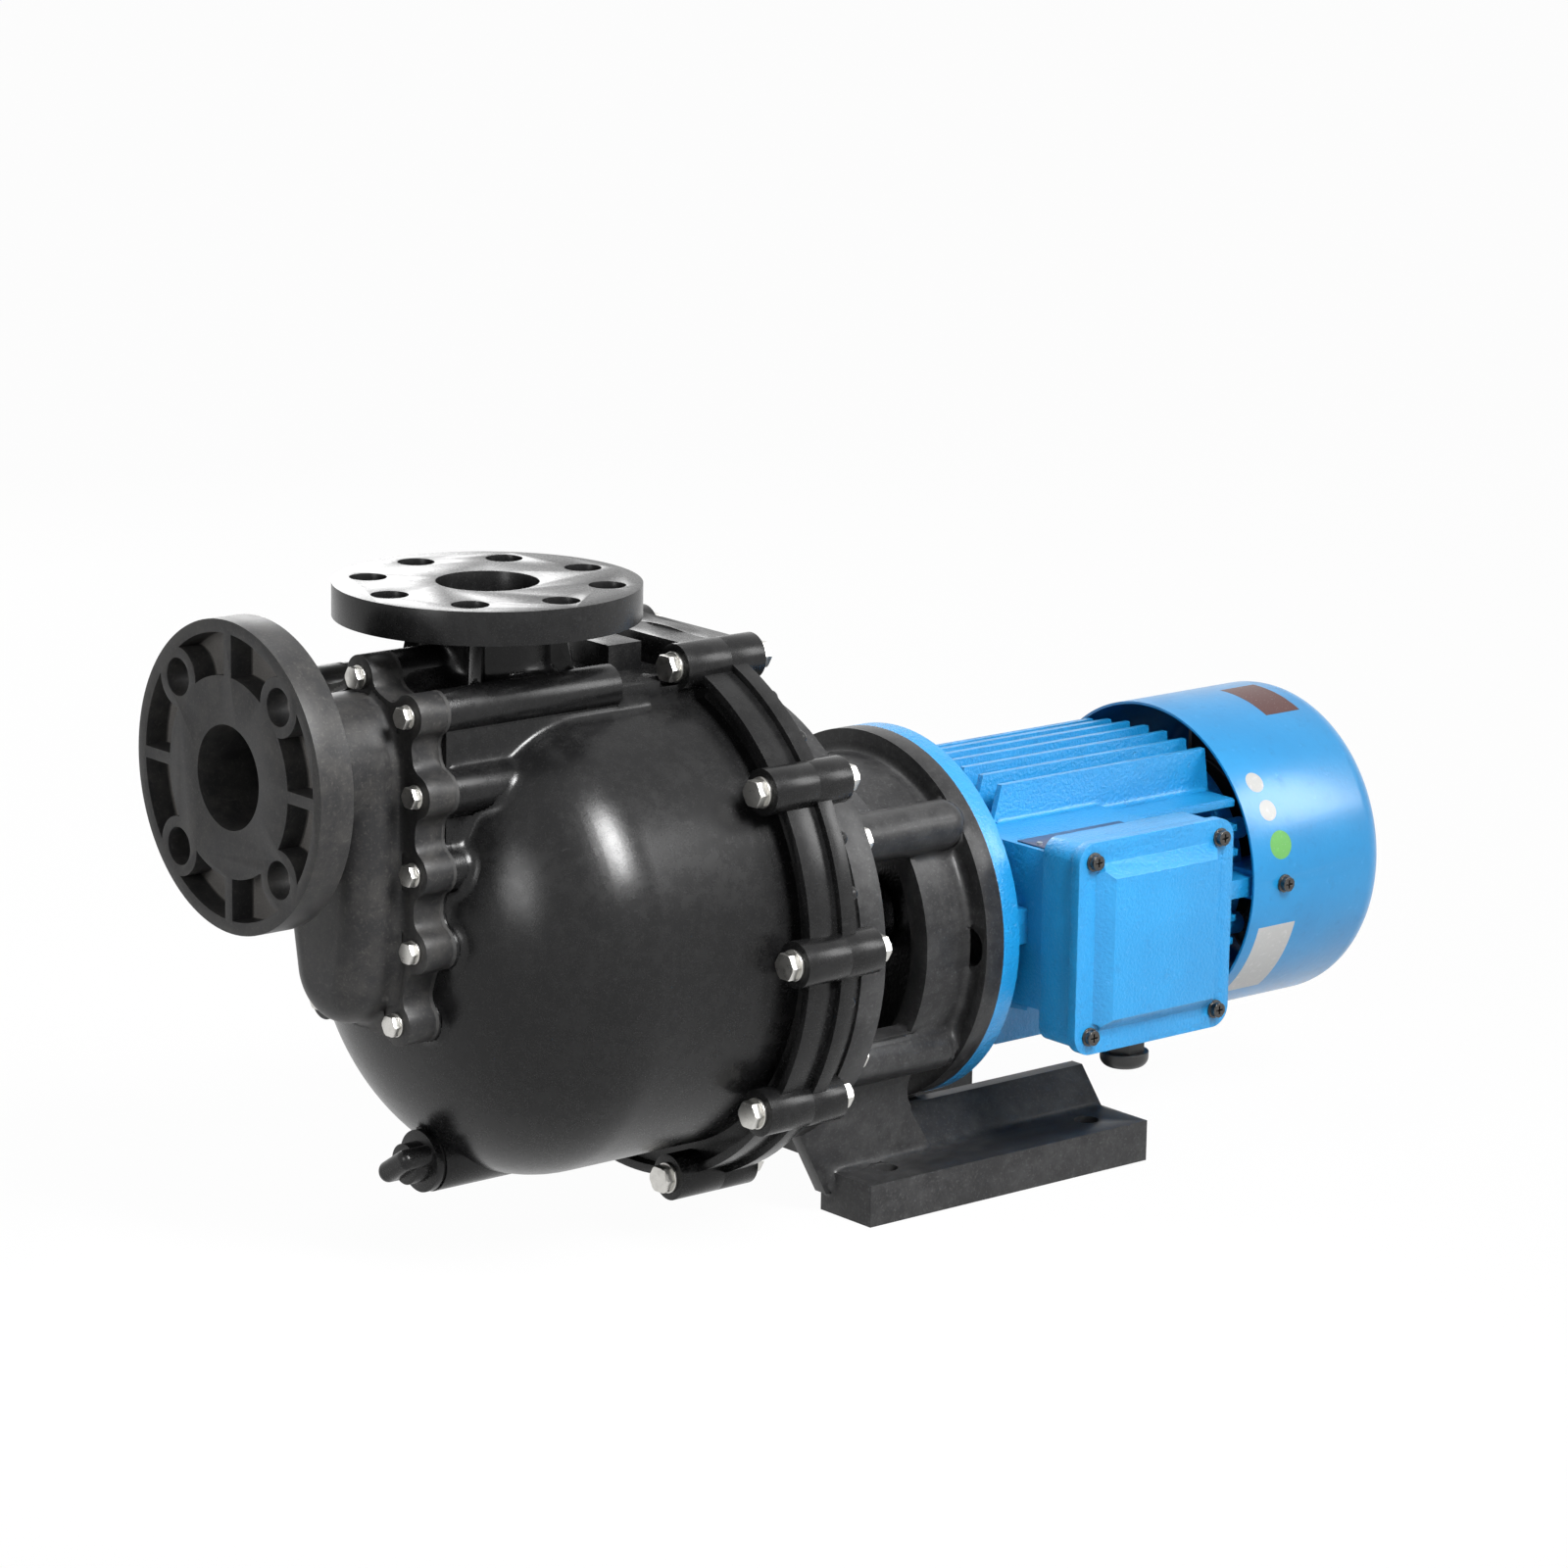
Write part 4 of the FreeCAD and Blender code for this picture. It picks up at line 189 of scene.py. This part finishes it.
def moulded_black(name, tone=0.005, dust_and_light_tone=0.013, warm=0.0, gloss=0.21, pockets=False):
    """Satin fibre-filled moulding with flow marks, fine grain and handling scuffs."""
    f = Finish(name, Specular_IOR_Level=0.25)
    flow = f.grain(0.045, 4.0, 0.55, (1, 1, 1.7), 0.5)
    mottle = f.grain(0.007, 5.0, 0.7)
    grit = f.grain(0.0009, 3.0, 0.65)
    speck = f.step(f.grain(0.0015, 2.0, 0.6), 0.56, 0.72)
    scuff = f.step(f.grain(0.007, 9.0, 0.78, (0.35, 1, 1), 1.4), 0.62, 0.74)
    dust = f.step(flow * 0.45 + mottle * 0.55, 0.44, 0.68)
    # Where the tone and this paler tone are raised, as on the bracket and the suction flange, they are partly
    # painted light.
    pale = (dust_and_light_tone + warm, dust_and_light_tone + warm * 0.6, dust_and_light_tone)
    light = tuple(c * 2.4 for c in pale)
    base = f.mix(dust * 0.5, (tone, tone, tone * 1.04), pale)
    base = f.mix(speck * 0.16, base, light)
    base = f.mix(scuff * 0.3, base, light)
    if pockets:
        base = f.mix(pocket_dust(f, grit), base, (0.165, 0.158, 0.150))
    rough = gloss + dust * 0.08 + scuff * 0.12 + grit * 0.08
    bump = f.relief(flow * 0.6 + mottle * 0.4, 0.0003, 0.3)
    bump = f.relief(grit, 0.00006, 0.6, bump)
    return f.cover(Base_Color=base, Roughness=rough, Normal=bump)


def pocket_dust(f, grit):
    """Pale dust on the floors of the pockets in the suction flange."""
    x = f.along("X")
    out = f.off_axis(SUCTION_Z)
    inner, outer = POCKET_R
    floor = f.step(x, POCKET_X - 0.0014, POCKET_X - 0.0004) * f.step(x, POCKET_X + 0.0016, POCKET_X + 0.0008)
    ring = f.step(out, inner - 0.001, inner) * f.step(out, outer + 0.0006, outer)
    return floor * ring * (0.3 + grit * 0.7)


def cast_blue(name, peel=0.0019, depth=0.0008, gloss=0.34, painted_shade_front=False):
    """Blue enamel with orange peel, slight tone changes and dust.

    The front option paints the face of the motor flange against the bracket dark, as painted shade for the deep
    inside of the bracket.
    """
    f = Finish(name, Coat_Roughness=0.22, Specular_IOR_Level=0.5)
    tone = f.grain(0.03, 3.0, 0.5)
    skin = f.grain(peel, 3.0, 0.55)
    pits = f.step(f.grain(peel * 2.2, 5.0, 0.7), 0.62, 0.78)
    grime = f.step(f.grain(0.008, 6.0, 0.7), 0.56, 0.8)
    base = f.mix(tone, (0.004, 0.180, 0.42), (0.008, 0.240, 0.53))
    base = f.mix(grime * 0.35, base, (0.008, 0.07, 0.19))
    base = f.mix(pits * 0.25, base, (0.10, 0.42, 0.80))
    if painted_shade_front:
        # Painted shade: the flange face deep inside the bracket is darkened to stand for the shade there.
        painted_shade = f.step(f.along("X"), SHIELD_FACE_X + 0.0005, SHIELD_FACE_X + 0.0002)
        base = f.mix(painted_shade, base, (0.012, 0.012, 0.013))
    bump = f.relief(skin - pits * 0.5, depth, 0.9)
    rough = gloss + skin * 0.1 + grime * 0.1
    return f.cover(Base_Color=base, Roughness=rough, Coat_Weight=0.35 - grime * 0.2, Normal=bump)


def bright_metal(name, tone=(0.62, 0.61, 0.58), rough=0.24, turned=(1, 1, 1), stain=0.3):
    """Machined metal with fine tool marks and a dull film in patches."""
    f = Finish(name, Metallic=1.0)
    marks = f.grain(0.0006, 3.0, 0.6, turned)
    film = f.step(f.grain(0.004, 5.0, 0.65), 0.45, 0.75)
    nicks = f.step(f.grain(0.0018, 4.0, 0.7), 0.66, 0.78)
    dull = tuple(c * 0.55 for c in tone)
    base = f.mix(film * stain, tone, dull)
    base = f.mix(nicks * 0.4, base, tuple(c * 0.3 for c in tone))
    bump = f.relief(marks - nicks, 0.00006, 0.6)
    return f.cover(Base_Color=base, Roughness=rough + film * 0.14 + marks * 0.08, Normal=bump)


def soft_rubber(name, tone=0.012):
    """Dull rubber with fine grit and paler patches."""
    f = Finish(name)
    mottle = f.grain(0.004, 4.0, 0.6)
    grit = f.grain(0.0007, 2.0)
    base = f.mix(f.step(mottle, 0.4, 0.7), (tone, tone, tone), (tone * 2.4, tone * 2.3, tone * 2.2))
    return f.cover(Base_Color=base, Roughness=0.62 + mottle * 0.2, Normal=f.relief(grit, 0.0001, 0.5))


def plain_plastic(name, tone, rough=0.4):
    """Smooth moulding with slight tone changes and fine grit."""
    f = Finish(name)
    mottle = f.grain(0.006, 3.0)
    grit = f.grain(0.0009, 2.0)
    base = f.mix(mottle, tuple(c * 0.8 for c in tone), tuple(c * 1.25 for c in tone))
    return f.cover(Base_Color=base, Roughness=rough + mottle * 0.12, Normal=f.relief(grit, 0.00012, 0.5))


def blank_plate(name, tone, rough=0.35):
    """Printed metal plate without any words, with rubbed spots."""
    f = Finish(name, Metallic=0.0, Coat_Roughness=0.15)
    rub = f.step(f.grain(0.003, 6.0, 0.7), 0.55, 0.8)
    speck = f.step(f.grain(0.0012, 3.0, 0.6), 0.62, 0.72)
    base = f.mix(rub * 0.5, tone, tuple(min(1.0, c * 1.8 + 0.02) for c in tone))
    base = f.mix(speck * 0.35, base, (0.35, 0.36, 0.38))
    return f.cover(Base_Color=base, Roughness=rough + rub * 0.2, Coat_Weight=0.3 - rub * 0.2,
                   Normal=f.relief(rub, 0.00005, 0.5))


def wound_copper(name):
    """Enamelled wires wound round the shaft's axis."""
    f = Finish(name, Metallic=0.6)
    strands = f.node("TexWave", {"wave_type": "RINGS", "rings_direction": "X"},
                     {"Vector": f.spot(), "Scale": 260.0, "Distortion": 1.5, "Detail": 2.0})
    patch = f.grain(0.005, 3.0)
    base = f.mix(patch, (0.55, 0.22, 0.07), (0.78, 0.36, 0.13))
    return f.cover(Base_Color=base, Roughness=0.3 + patch * 0.2, Normal=f.relief(strands, 0.0003, 0.8))


def stacked_steel(name):
    """Thin sheets stacked along the shaft, with a little rust."""
    f = Finish(name, Metallic=1.0)
    sheets = f.node("TexWave", {"wave_type": "BANDS", "bands_direction": "X"},
                    {"Vector": f.spot(), "Scale": 320.0, "Distortion": 0.2})
    rust = f.step(f.grain(0.006, 5.0), 0.5, 0.8)
    base = f.mix(rust * 0.5, (0.30, 0.30, 0.31), (0.22, 0.15, 0.11))
    return f.cover(Base_Color=base, Roughness=0.42 + rust * 0.2, Normal=f.relief(sheets, 0.0001, 0.6))


def pale_floor():
    """Light grey floor that keeps the shadow and looks nearly white to the camera."""
    f = Finish("studio_floor", Base_Color=(0.62, 0.62, 0.62, 1), Specular_IOR_Level=0.1)
    f.cover(Roughness=0.7 + f.grain(0.05) * 0.1)
    glow = f.node("Emission", inputs={"Color": WHITE, "Strength": 1.0})
    lit = Value(f, f.surface.outputs[0])
    both = f.node("MixShader", inputs={0: f.rays_from_sight() * 0.97, 1: lit, 2: glow})
    f.feed(f.tree.nodes["Material Output"].inputs[0], both)
    return f.material


FINISHES = {
    "black_moulding": moulded_black("satin_black_moulding"),
    "inner_plastic": plain_plastic("inner_moulding", (0.05, 0.05, 0.055)),
    "stainless": bright_metal("stainless_bolts"),
    "shaft_steel": bright_metal("ground_shaft", (0.5, 0.5, 0.52), 0.18, (1, 0.05, 0.05)),
    "ceramic": plain_plastic("lapped_ceramic", (0.8, 0.78, 0.73), 0.15),
    "rubber": soft_rubber("sealing_rubber"),
    "blue_paint": cast_blue("blue_casting_enamel"),
    "cowl_paint": cast_blue("blue_sheet_enamel", 0.003, 0.00012, 0.26),
    "zinc_dark": bright_metal("dark_plated_screws", (0.10, 0.095, 0.09), 0.2, stain=0.5),
    "core_steel": stacked_steel("stacked_core_sheets"),
    "copper": wound_copper("wound_copper"),
    "brass": bright_metal("plain_brass", (0.70, 0.50, 0.22), 0.25),
    "black_nylon": plain_plastic("black_nylon", (0.010, 0.010, 0.010), 0.3),
    "plate_navy": blank_plate("navy_blank_plate", (0.012, 0.022, 0.075)),
    "plate_black": blank_plate("black_blank_plate", (0.008, 0.008, 0.009)),
}

SPECIAL = {
    # The motor flange's face inside the bracket is painted dark, as painted shade.
    "front_shield": cast_blue("flange_enamel", painted_shade_front=True),
    # The bracket's raised tones are partly dust and partly painted light, for the light falling on its foot and
    # riser.
    "motor_bracket": moulded_black("dust_and_painted_light_black_moulding", 0.016, 0.060, 0.0, 0.30),
    # The suction flange's warm tint is its own colour; its raised tones are partly painted light.
    "suction_cover": moulded_black("warm_black_moulding_and_painted_light", 0.016, 0.050, 0.008, 0.36, pockets=True),
}


# Shapes

WELD = 0.000005          # points nearer than this are one


def piece_from(mesh_or_bm, name, material, body, *stands_for, slot=None, smooth=40):
    """Makes a shown piece from a mesh in the pump's frame."""
    if isinstance(mesh_or_bm, bmesh.types.BMesh):
        mesh = bpy.data.meshes.new(name)
        mesh_or_bm.to_mesh(mesh)
        mesh_or_bm.free()
    else:
        mesh = mesh_or_bm
    mesh.materials.clear()
    mesh.materials.append(material)
    mesh.shade_smooth()
    mesh.set_sharp_from_angle(angle=math.radians(smooth))
    piece = bpy.data.objects.new(name, mesh)
    bpy.context.scene.collection.objects.link(piece)
    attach(piece, body)
    if stands_for:
        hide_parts(*stands_for)
    return piece


def welded(node):
    """A copy of a node's mesh with its vertices joined."""
    bm = bmesh.new()
    bm.from_mesh(frame["nodes"][node].data)
    bmesh.ops.remove_doubles(bm, verts=bm.verts, dist=WELD)
    return bm


def cad_mesh(node):
    """A welded copy of a node's mesh, flat areas as single faces."""
    bm = welded(node)
    bmesh.ops.dissolve_limit(bm, angle_limit=math.radians(0.6), verts=bm.verts, edges=bm.edges)
    return bm


def soften(bm, width, sharp=32):
    """Rounds the sharp edges a little, so that they catch light."""
    edges = [e for e in bm.edges if len(e.link_faces) == 2 and e.calc_face_angle(0) > math.radians(sharp)]
    if edges:
        bmesh.ops.bevel(bm, geom=edges, offset=width, segments=2, profile=0.6, affect="EDGES",
                        clamp_overlap=True)
    return bm


slot_of = {s["node"]: s["material_slot"] for s in frame["record"]["subparts"]}
body_of = {n: b for b, names in frame["record"]["behaviour"]["bodies"].items() for n in names}


def finish_of(node):
    return SPECIAL.get(node, FINISHES[slot_of[node]])


def dressed(node, width):
    """The node itself with softened edges and its finish."""
    bm = soften(cad_mesh(node), width)
    return piece_from(bm, node + "_made", finish_of(node), body_of[node], node, slot=slot_of[node])


def islands(bm):
    """The vertices of a mesh, one list for each separate part."""
    waiting = set(bm.verts)
    while waiting:
        front = [waiting.pop()]
        island = []
        while front:
            vert = front.pop()
            island.append(vert)
            for edge in vert.link_edges:
                other = edge.other_vert(vert)
                if other in waiting:
                    waiting.discard(other)
                    front.append(other)
        yield island


def solid_boxes(node):
    """Corner pairs of the boxes round a node's separate solids."""
    bm = welded(node)
    boxes = []
    for island in islands(bm):
        places = np.array([vert.co for vert in island])
        boxes.append((places.min(0), places.max(0)))
    bm.free()
    return boxes


class Skin:
    """The vertices of an evenly meshed casting, which are moved to fill its hollows."""

    def __init__(self, mesh):
        self.mesh = mesh
        self.count = len(mesh.vertices)
        self.places = self.read(mesh.vertices, "co")
        ends = np.empty(len(mesh.edges) * 2, dtype=np.int64)
        mesh.edges.foreach_get("vertices", ends)
        first, second = ends[0::2], ends[1::2]
        owner = np.concatenate([first, second])
        order = np.argsort(owner, kind="stable")
        self.other = np.concatenate([second, first])[order]
        self.start = np.searchsorted(owner[order], np.arange(self.count))
        self.degree = np.bincount(owner, minlength=self.count)[:, None]

    def read(self, items, name):
        flat = np.empty(self.count * 3)
        items.foreach_get(name, flat)
        return flat.reshape(-1, 3)

    def store(self):
        self.mesh.vertices.foreach_set("co", self.places.ravel())
        self.mesh.update()

    def pull(self):
        """From each vertex to the middle of its neighbours."""
        return np.add.reduceat(self.places[self.other], self.start, axis=0) / self.degree - self.places

    def ease(self, rounds, strength):
        for _ in range(rounds):
            self.places = self.places + strength * self.pull()

    def fill_hollows(self, rounds, allowed):
        """Grows fillets: only hollow places move, and only outwards."""
        for turn in range(rounds):
            if turn % 6 == 0:
                self.store()
                outward = self.read(self.mesh.vertices, "normal")
            rise = (self.pull() * outward).sum(1)
            self.places += np.where(allowed & (rise > 0), rise, 0)[:, None] * outward
        self.store()


def away_from(places, boxes, margin):
    """True for the places outside all the boxes grown by the margin."""
    free = np.ones(len(places), dtype=bool)
    for low, high in boxes:
        inside = ((places > low - margin) & (places < high + margin)).all(1)
        free &= ~inside
    return free


SEEN_GROWTH = 0.00005    # fillets thinner than this are left out
FEWEST_POINTS = 60       # smaller patches are left out
SEAT_MARGIN = 0.0025     # kept clear round bolts and washers


def grown_fillets(node, cell, rounds, fasteners, keep, heart=None):
    """Rounded fillets in the hollows of a casting, grown on an even mesh. Bolt seats and bores stay clear.

    With a heart given, the walls that face it get none: they are the inside of a closed casting.
    """
    step = cell * 1.0
    bm = cad_mesh(node)
    rough = bpy.data.meshes.new(node + "_rough")
    bm.to_mesh(rough)
    bm.free()
    holder = bpy.data.objects.new(node + "_rough", rough)
    bpy.context.scene.collection.objects.link(holder)
    even = holder.modifiers.new("even", "REMESH")
    even.mode = "VOXEL"
    even.voxel_size = step
    skin = Skin(evaluated(holder))
    bpy.data.objects.remove(holder)
    skin.store()
    before = skin.places.copy()
    outward = skin.read(skin.mesh.vertices, "normal")
    boxes = [box for name in fasteners for box in solid_boxes(name)]
    allowed = away_from(skin.places, boxes, SEAT_MARGIN) & keep(skin.places)
    if heart is not None:
        allowed &= ((skin.places - np.array(heart)) * outward).sum(1) > 0
    skin.ease(2, 0.5)
    skin.fill_hollows(int(rounds * (cell / step) ** 2), allowed)
    skin.ease(2, 0.3)
    growth = ((skin.places - before) * outward).sum(1)
    skin.places -= 0.8 * SEEN_GROWTH * outward
    skin.store()
    bm = bmesh.new()
    bm.from_mesh(skin.mesh)
    bm.verts.ensure_lookup_table()
    plain = [bm.verts[i] for i in np.flatnonzero((growth < SEEN_GROWTH) | ~allowed)]
    bmesh.ops.delete(bm, geom=plain, context="VERTS")
    crumbs = [vert for island in islands(bm) if len(island) < FEWEST_POINTS for vert in island]
    bmesh.ops.delete(bm, geom=crumbs, context="VERTS")
    return piece_from(bm, node + "_fillets", finish_of(node), body_of[node], slot=slot_of[node], smooth=180)


def evaluated(holder):
    """A new mesh of the object with its modifiers."""
    view = bpy.context.evaluated_depsgraph_get()
    view.update()
    return bpy.data.meshes.new_from_object(holder.evaluated_get(view))


# How wide the softened edges of each piece are, in metres
EDGES = {
    "tank_body": 0.0009, "suction_cover": 0.0007, "rear_cover": 0.0008, "motor_bracket": 0.0009,
    "motor_frame": 0.0008, "front_shield": 0.0006, "rear_shield": 0.0006, "box_base": 0.0008,
    "box_lid": 0.0010,
    "drain_plug": 0.0006, "cover_bolts": 0.0003, "ring_bolts": 0.0003, "ring_nuts": 0.0003,
    "cover_washers": 0.0002, "ring_washers": 0.0002, "bracket_bolts": 0.0003, "bracket_washers": 0.0002,
    "motor_bolts": 0.0003, "motor_washers": 0.0002, "lid_screws": 0.0002, "cowl_screws": 0.0002,
    "cable_gland_body": 0.0005, "cable_gland_nut": 0.0004, "cooling_fan": 0.0005, "motor_nameplate": 0.0001,
    "bracket_nameplate": 0.0001, "fan_cowl": 0.0003,
}


# Where each casting may have grown fillets

def tank_hollows(places):
    x, _, z = places.T
    return (x > COVER_BOSSES_X) & (x < TANK_RIM_X) & (z > DRAIN_TOP_Z) & (z < DISCHARGE_UNDER_Z - 0.001)


def cover_hollows(places):
    x, y, z = places.T
    behind_flange = (x > SUCTION_BACK_X - 0.001) & (x < COVER_FACE_X)
    return behind_flange & (np.hypot(y, z - SUCTION_Z) > SUCTION_BORE_R)


def bracket_hollows(places):
    _, y, z = places.T
    return (z > BRACKET_Z[0]) & (z < BRACKET_Z[1]) & (np.hypot(y, z - SHAFT_Z) > BRACKET_BORE_R)


def frame_hollows(places):
    _, y, z = places.T
    return np.hypot(y, z - SHAFT_Z) > FRAME_BORE_R


tank_seats = ("ring_bolts", "ring_washers", "drain_plug")
cover_seats = ("cover_bolts", "cover_washers")
bracket_seats = ("bracket_bolts", "bracket_washers", "motor_bolts")
grown_fillets("tank_body", 0.0011, 26, tank_seats, tank_hollows, heart=TANK_MIDDLE)
grown_fillets("suction_cover", 0.0011, 22, cover_seats, cover_hollows)
grown_fillets("motor_bracket", 0.0013, 12, bracket_seats, bracket_hollows)
grown_fillets("motor_frame", 0.0011, 8, ("tie_bolts",), frame_hollows)

for node, item in frame["nodes"].items():
    if node in EDGES:
        dressed(node, EDGES[node])
    elif not item.hide_render:
        item.data.materials.clear()
        item.data.materials.append(FINISHES[slot_of[node]])


# Blank stickers on the cowl

STICKER_T = 0.00012
STICKER_GAP = 0.00003    # over the cowl


def sticker(name, place, finish, rows=6, columns=24):
    """Thin sheet on the cowl. For u and v from 0 to 1, place(u, v) gives the angle from the +Y side and x."""
    bm = bmesh.new()
    grid = []
    for i in range(rows + 1):
        for j in range(columns + 1):
            a, x = place(i / rows, j / columns)
            r = COWL_R + STICKER_GAP
            grid.append(bm.verts.new((x, r * math.cos(a), SHAFT_Z + r * math.sin(a))))
    wide = columns + 1
    for i in range(rows):
        for j in range(columns):
            k = i * wide + j
            bm.faces.new((grid[k], grid[k + 1], grid[k + wide + 1], grid[k + wide]))
    bmesh.ops.remove_doubles(bm, verts=bm.verts, dist=0.000002)
    bmesh.ops.recalc_face_normals(bm, faces=bm.faces)
    bmesh.ops.solidify(bm, geom=bm.faces, thickness=STICKER_T)
    bmesh.ops.recalc_face_normals(bm, faces=bm.faces)
    return piece_from(bm, name, finish, "root", smooth=60)


def round_sticker(name, angle, x, radius, finish):
    def place(out, around):
        turn = 2 * math.pi * around
        sideways = out * radius * math.sin(turn) / COWL_R
        return math.radians(angle) + sideways, x + out * radius * math.cos(turn)
    sticker(name, place, finish, columns=40)


def long_sticker(name, angles, xs, finish):
    def place(along, across):
        angle = angles[0] + (angles[1] - angles[0]) * across
        return math.radians(angle), xs[0] + (xs[1] - xs[0]) * along
    sticker(name, place, finish)


white_paper = blank_plate("white_sticker", (0.40, 0.40, 0.39), 0.6)
green_paper = blank_plate("green_sticker", (0.10, 0.33, 0.07), 0.6)
red_paper = blank_plate("dark_red_sticker", (0.05, 0.007, 0.005), 0.5)
round_sticker("front_white_sticker", 142, 0.192, 0.006, white_paper)
round_sticker("second_white_sticker", 153, 0.194, 0.006, white_paper)
round_sticker("green_sticker", 166, 0.198, 0.008, green_paper)
long_sticker("blank_paper_label", (196, 229), (0.184, 0.212), white_paper)
long_sticker("dark_red_label", (89, 114), (0.233, 0.259), red_paper)


# Studio

FLOOR_GAP = 0.0004       # keeps the floor clear of the foot


def set_camera():
    azimuth, elevation, roll = (math.radians(a) for a in CAMERA_TURN)
    ahead = Vector((-math.sin(azimuth) * math.cos(elevation), math.cos(azimuth) * math.cos(elevation),
                    -math.sin(elevation)))
    level = Vector((math.cos(azimuth), math.sin(azimuth), 0))
    above = level.cross(ahead)
    right = math.cos(roll) * level + math.sin(roll) * above
    top = math.cos(roll) * above - math.sin(roll) * level
    turn = Matrix((right, top, -ahead)).transposed().to_4x4()
    lens = bpy.data.cameras.new("camera")
    lens.sensor_width = CAMERA_SENSOR
    lens.lens = CAMERA_LENS
    lens.shift_x, lens.shift_y = CAMERA_SHIFT
    camera = bpy.data.objects.new("camera", lens)
    bpy.context.scene.collection.objects.link(camera)
    camera.matrix_world = Matrix.Translation(CAMERA_PLACE) @ turn
    bpy.context.scene.camera = camera


def softbox(name, place, aim, size, power, spread=180):
    """A rectangular lamp. A small spread is a grid in front of it, which keeps its light on one place."""
    light = bpy.data.lights.new(name, "AREA")
    light.shape = "RECTANGLE"
    light.size, light.size_y = size
    light.energy = power
    light.spread = math.radians(spread)
    lamp = bpy.data.objects.new(name, light)
    bpy.context.scene.collection.objects.link(lamp)
    lamp.location = place
    lamp.rotation_euler = (Vector(aim) - Vector(place)).to_track_quat("-Z", "Y").to_euler()


def set_world():
    """A weak fill on the pump, and white where the background is seen."""
    world = bpy.data.worlds.new("studio")
    bpy.context.scene.world = world
    world.use_nodes = True
    w = Nodes(world.node_tree)
    fill = w.node("Background", inputs={"Color": WHITE, "Strength": 0.2})
    white = w.node("Background", inputs={"Color": WHITE, "Strength": 1.0})
    both = w.node("MixShader", inputs={0: w.rays_from_sight(), 1: fill, 2: white})
    w.feed(w.tree.nodes["World Output"].inputs[0], both)


def lay_floor():
    bm = bmesh.new()
    bmesh.ops.create_grid(bm, x_segments=2, y_segments=2, size=6.0)
    mesh = bpy.data.meshes.new("floor")
    bm.to_mesh(mesh)
    bm.free()
    mesh.materials.append(pale_floor())
    floor = bpy.data.objects.new("floor", mesh)
    floor.location.z = -FLOOR_GAP
    bpy.context.scene.collection.objects.link(floor)


set_camera()
set_world()
lay_floor()
softbox("key", (-0.15, -1.30, 1.45), (-0.28, -0.1, 0.20), (0.45, 0.85), 6.8, spread=50)
softbox("side", (1.15, -1.15, 1.05), (0.0, 0.0, 0.15), (0.6, 0.8), 15)
softbox("over", (-0.1, 0.5, 1.9), (-0.1, 0, 0.2), (1.2, 0.4), 9)
softbox("front", (-1.9, -0.35, 0.75), (-0.40, 0, 0.25), (0.5, 0.6), 10)
softbox("rear", (0.5, 1.7, 0.9), (0, 0, 0.15), (0.9, 0.9), 12)
bpy.context.scene.view_settings.view_transform = "Standard"
